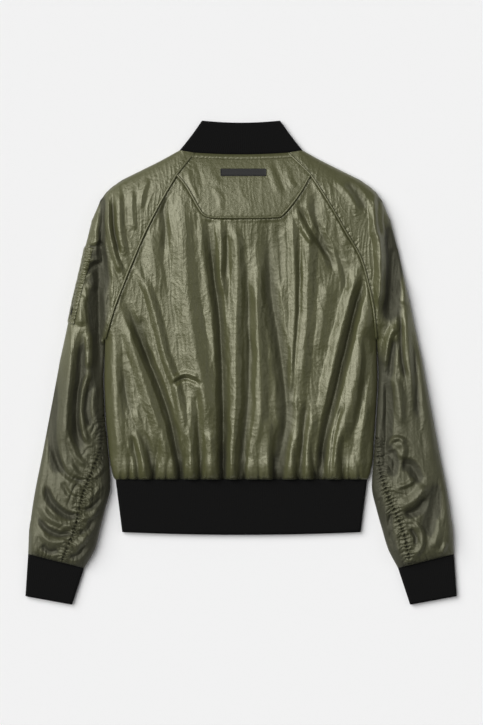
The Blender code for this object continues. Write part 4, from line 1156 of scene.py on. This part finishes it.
def band_section(half, count, gap):
    """Across and height of count + 1 points round a flattened band, from one end of its opening."""
    radius = RIB_TOP / 2
    flat = half - radius
    start = gap if gap else 0.0
    under, arc, over = flat - start, math.pi * radius, 2 * flat
    s = np.linspace(0, 2 * under + 2 * arc + over, count + 1)
    x = np.empty_like(s)
    z = np.empty_like(s)
    marks = np.cumsum([under, arc, over, arc])
    for i, at in enumerate(s):
        if at <= marks[0]:
            x[i], z[i] = -start - at, 0.0
        elif at <= marks[1]:
            angle = (at - marks[0]) / radius
            x[i], z[i] = -flat - radius * math.sin(angle), radius - radius * math.cos(angle)
        elif at <= marks[2]:
            x[i], z[i] = -flat + at - marks[1], RIB_TOP
        elif at <= marks[3]:
            angle = (at - marks[2]) / radius
            x[i], z[i] = flat + radius * math.sin(angle), radius + radius * math.cos(angle)
        else:
            x[i], z[i] = flat - (at - marks[3]), 0.0
    return x, z, s


def rib_wave(s):
    """Ribs of a knit: rounded ridges with narrow grooves."""
    return RIB_DEPTH * (np.abs(np.sin(np.pi * s / RIB_PITCH)) ** 0.6 - 1)


def push_in(x, z, half, amount):
    """Moves points of a flattened band's section square to it."""
    radius = RIB_TOP / 2
    flat = half - radius
    cx = np.clip(x, -flat, flat)
    dx, dz = x - cx, z - radius
    length = np.maximum(np.hypot(dx, dz), 1e-6)
    return x + dx / length * amount, z + dz / length * amount


def knit_piece(name, rows, nodes, closed, up=True):
    piece = grid_object(name, np.array(rows), up=up, closed=closed)
    wall = piece.modifiers.new("wall", "SOLIDIFY")
    wall.thickness = RIB_WALL * MM
    wall.offset = -1
    dress(piece, KNIT, nodes)
    return piece


def hem_rib():
    rows = []
    steps = 14
    for k in range(steps + 1):
        v = k / steps
        half = HEM_HALF - HEM_TAPER * v
        x, z, s = band_section(half, 1400, ZIP_HALF)
        lift = np.where(z < 1e-6, zip_lift(x, 1.5), 0.0)
        x2, z2 = push_in(x, z, half, rib_wave(s / s[-1] * HEM_ROUND))
        y = HEM_Y - HEM_DEPTH * v - HEM_BOW * v * (1 - (x / half) ** 2)
        rows.append(np.stack([x2 + HEM_MIDDLE, y, np.maximum(z2 + lift, 0)], axis=1))
    knit_piece("hem_rib_knit", rows, ["hem_rib"], closed=False)


def collar():
    rows = []
    steps = 12
    for k in range(steps + 1):
        v = 1 - k / steps
        half = COLLAR_CORNER[0] + (COLLAR_TOP[0] - COLLAR_CORNER[0]) * v
        x, z, s = band_section(half, 900, ZIP_HALF)
        low = collar_seam_y(x)
        high = COLLAR_TOP[1] - COLLAR_TOP_DIP * (1 - (x / half) ** 2)
        y = low + (high - low) * v - np.where(z > RIB_TOP / 2, 0.0, front_drop(x))
        lift = np.where(z < 1e-6, zip_lift(x, 1.5), 0.0)
        x2, z2 = push_in(x, z, half, rib_wave(s / s[-1] * COLLAR_ROUND))
        rows.append(np.stack([x2, y, np.maximum(z2 + lift, 0)], axis=1))
    knit_piece("collar_knit", rows, ["collar"], closed=False)


def cuff(side):
    name = WORDS[side]
    top = [np.array(CUFF_TOP_OUT), np.array(CUFF_TOP_IN)]
    end = [np.array(CUFF_END_OUT), np.array(CUFF_END_IN)]
    rows = []
    steps = 14
    for k in range(steps + 1):
        v = k / steps
        outer, inner = top[0] * (1 - v) + end[0] * v, top[1] * (1 - v) + end[1] * v
        across = (outer - inner) / np.linalg.norm(outer - inner)
        centre = (outer + inner) / 2
        half = np.linalg.norm(outer - inner) / 2
        x, z, s = band_section(half, 440, 0.0)
        x, z, s = x[:-1], z[:-1], s[:-1]
        x2, z2 = push_in(x, z, half, rib_wave(s / (s[-1] + s[1]) * CUFF_ROUND))
        plan = centre + x2[:, None] * across
        rows.append(np.stack([side * plan[:, 0], plan[:, 1], np.maximum(z2, 0)], axis=1))
    knit_piece("cuff_knit_" + name, rows, ["cuff_" + name], closed=True, up=side > 0)


# ---- piping, label ---------------------------------------------------------------------------


def piping_cord(name, plan, node, sides=8):
    """Round nylon cord, half sunk in the seam along the plan points."""
    points = with_height(plan, BODY.top(plan, np.zeros(len(plan))) + 0.9)
    run = np.gradient(points, axis=0)
    run /= np.linalg.norm(run, axis=1, keepdims=True)
    side = np.cross(run, (0, 0, 1))
    side /= np.linalg.norm(side, axis=1, keepdims=True)
    lift = np.cross(side, run)
    angles = np.linspace(0, 2 * np.pi, sides, endpoint=False)
    rings = [point + PIPING * (np.outer(np.cos(angles), out) + np.outer(np.sin(angles), up))
             for point, out, up in zip(points, side, lift)]
    rings = [np.repeat(points[:1], sides, axis=0), *rings, np.repeat(points[-1:], sides, axis=0)]
    dress(grid_object(name, np.array(rings), up=False, closed=True), NYLON, [node])


def raglan_piping(side):
    name = WORDS[side]
    plan = edge_points(RAGLAN, side, np.linspace(COLLAR_Y - 1, CROTCH_Y + 4, 260))
    piping_cord("raglan_piping_cord_" + name, plan, "raglan_piping_" + name)


def yoke_piping():
    piping_cord("yoke_piping_cord", yoke_curve(np.linspace(0.004, 0.996, 260)), "yoke_piping")


LABEL_SIZE = 78.0, 13.0
LABEL_CENTRE = 4.0, 324.0
LABEL_CORNER = 1.5


def label():
    """Bare dark patch with a raised border."""
    width, depth = LABEL_SIZE
    gx, gy = np.meshgrid(np.linspace(-0.5, 0.5, 121) * width, np.linspace(0.5, -0.5, 31) * depth)
    edge = np.minimum(width / 2 - np.abs(gx), depth / 2 - np.abs(gy))
    inner_x = np.minimum(np.abs(gx), width / 2 - LABEL_CORNER)
    inner_y = np.minimum(np.abs(gy), depth / 2 - LABEL_CORNER)
    past_x, past_y = np.abs(gx) - inner_x, np.abs(gy) - inner_y
    corner = np.hypot(past_x, past_y)
    shrink = np.where(corner > LABEL_CORNER, LABEL_CORNER / np.maximum(corner, 1e-6), 1.0)
    x = np.sign(gx) * (inner_x + past_x * shrink) + LABEL_CENTRE[0]
    y = np.sign(gy) * (inner_y + past_y * shrink) + LABEL_CENTRE[1]
    plan = np.stack([x, y], axis=-1)
    z = BODY.top(plan, np.zeros(plan.shape[:-1])) + 1.1
    z += 0.45 * smooth(edge / 0.5) - 0.45 * smooth((edge - 1.3) / 0.6)
    piece = grid_object("label_patch", with_height(plan, z), up=True)
    wall = piece.modifiers.new("wall", "SOLIDIFY")
    wall.thickness = 1.0 * MM
    wall.offset = -1
    dress(piece, PATCH, ["label"])


# ---- sleeve pocket ---------------------------------------------------------------------------


def sleeve_pocket(surface):
    """Utility pocket on the wearer's left sleeve: outer patch and puckered zip placket; its pull stays the
    CAD piece.
    """
    rows = np.linspace(0, 1, len(surface))
    start, end = 9 / 27, 14 / 27
    inside = (rows >= start) & (rows <= end)
    strip = surface[inside]
    run = np.gradient(strip, axis=0)
    across = np.gradient(strip, axis=1)
    normal = np.cross(run, across)
    normal /= np.linalg.norm(normal, axis=-1, keepdims=True)
    length = np.cumsum(np.linalg.norm(np.diff(strip[:, 20], axis=0), axis=1))
    length = np.concatenate([[0], length])[:, None]
    total = length[-1, 0]
    steps = np.cumsum(np.linalg.norm(across[:, 1:], axis=-1), axis=1)
    width = np.concatenate([np.zeros((len(strip), 1)), steps], axis=1)
    place = width - width[:, CURL_STEPS, None]  # distance in from the sleeve's folded edge
    ends = smooth(length / 3) * smooth((total - length) / 3)

    def piece(name, low, high, lift, nodes):
        cols = [j for j in range(strip.shape[1]) if low - 1 <= place[:, j].mean() <= high]
        part = strip[:, cols] + normal[:, cols] * lift(length, place[:, cols])[..., None]
        made = grid_object(name, part, up=True)
        dress(made, NYLON, nodes)
        return made

    def smooth_patch(s, p):
        return 0.5 + 0.9 * ends + 0.25 * noise(s / 9 + 4, p / 7)

    patch = piece("sleeve_pocket_cloth", -12, 6.5, smooth_patch, ["sleeve_pocket"])

    def ruched(s, p):
        across_now = np.clip((p - 6) / 15, 0, 1)
        hump = np.sin(np.pi * across_now) ** 0.5
        pleat = np.sin(2 * np.pi * (s / 6.2 + 0.8 * noise(s / 19, p / 30) + 0.25 * p / 15))
        return 0.6 + ends * (2.0 * hump + 1.0 * pleat * hump + 0.3 * noise(s / 3, p / 3))

    placket = piece("pocket_placket_cloth", 6.0, 21.0, ruched, ["pocket_placket"])


# ---- zip -------------------------------------------------------------------------------------


def boxes_object(name, lows, highs):
    """One mesh of many plain boxes, from corners given in millimetres; zip_teeth rounds their ends."""
    corners = np.array([(x, y, z) for x in (0, 1) for y in (0, 1) for z in (0, 1)], float)
    ends = [(0, 1, 3, 2), (4, 6, 7, 5)]
    sides = [(0, 4, 5, 1), (2, 3, 7, 6), (0, 2, 6, 4), (1, 5, 7, 3)]
    faces = np.array(ends + sides)
    lows, highs = np.asarray(lows, float), np.asarray(highs, float)
    verts = (lows[:, None] + corners[None] * (highs - lows)[:, None]).reshape(-1, 3) * MM
    quads = (faces[None] + 8 * np.arange(len(lows))[:, None, None]).reshape(-1, 4)
    mesh = bpy.data.meshes.new(name)
    mesh.from_pydata(verts.tolist(), [], quads.tolist())
    obj = bpy.data.objects.new(name, mesh)
    bpy.context.scene.collection.objects.link(obj)
    return obj


TOOTH_PITCH, TEETH_TOP_Y = 1.5, 377.2


def zip_teeth():
    low = HEM_Y - HEM_DEPTH
    lows, highs = [], []
    for k in range(int((TEETH_TOP_Y - low) / TOOTH_PITCH)):
        side = 1 if k % 2 else -1
        y = low + TOOTH_PITCH * k
        lows.append((min(-side * 0.9, side * 3.0), y + 0.1, 3.5))
        highs.append((max(-side * 0.9, side * 3.0), y + 1.3, 5.9))
    piece = boxes_object("zip_teeth", lows, highs)
    bevel = piece.modifiers.new("rounded", "BEVEL")
    bevel.width = 0.25 * MM
    bevel.segments = 2
    dress(piece, TEETH, ["zip_chain"])


def finish_cad_nodes():
    """The zip's CAD pieces and the pocket's pull keep their shape and get better materials."""
    for node, look in (("zip_tape_left", TAPE), ("zip_tape_right", TAPE), ("pocket_pull", TAPE),
                       ("zip_slider", METAL), ("zip_pull", METAL)):
        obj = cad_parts[node]
        obj.data.materials.clear()
        obj.data.materials.append(look)


# ---- stage -----------------------------------------------------------------------------------


def floor():
    bpy.ops.mesh.primitive_plane_add(size=60, location=(0, 0, -0.0005))
    plane = bpy.context.object
    plane.name = "floor"
    look, _, _, shader = new_material("pale_floor")
    shader.inputs["Base Color"].default_value = (0.92, 0.92, 0.92, 1)
    shader.inputs["Roughness"].default_value = 0.9
    plane.data.materials.append(look)


def soft_sun(name, azimuth, zenith, spread, power):
    """Distant soft light; azimuth counts from +X toward +Y, and all angles are in degrees."""
    light = bpy.data.lights.new(name, "SUN")
    light.angle = math.radians(spread)
    light.energy = power
    obj = bpy.data.objects.new(name, light)
    bpy.context.scene.collection.objects.link(obj)
    obj.rotation_euler = (0, math.radians(zenith), math.radians(azimuth))


def studio():
    world = bpy.data.worlds.new("studio")
    bpy.context.scene.world = world
    world.use_nodes = True
    background = world.node_tree.nodes["Background"]
    background.inputs["Color"].default_value = (1, 1, 1, 1)
    background.inputs["Strength"].default_value = 0.096
    soft_sun("key", 150, 43, 52, 2.35)
    soft_sun("gloss", 156, 24, 60, 0.96)
    soft_sun("fill", 10, 50, 30, 0.20)


def camera():
    data = bpy.data.cameras.new("camera")
    data.lens = 150
    data.sensor_width = 36
    obj = bpy.data.objects.new("camera", data)
    bpy.context.scene.collection.objects.link(obj)
    obj.location = (0.0008, 0.0008, 5.155)
    obj.rotation_euler = (0, 0, 0)
    bpy.context.scene.camera = obj
    bpy.context.scene.view_settings.view_transform = "Standard"


camera()
studio()
floor()
back_panel()
back_yoke()
neck_band()
for way in (-1, 1):
    upper = sleeve_back(way)
    if way < 0:
        sleeve_pocket(upper)
    undersleeve(way)
    sleeve_front(way)
    front_panel(way)
    cuff(way)
    raglan_piping(way)
collar()
hem_rib()
yoke_piping()
label()
zip_teeth()
finish_cad_nodes()
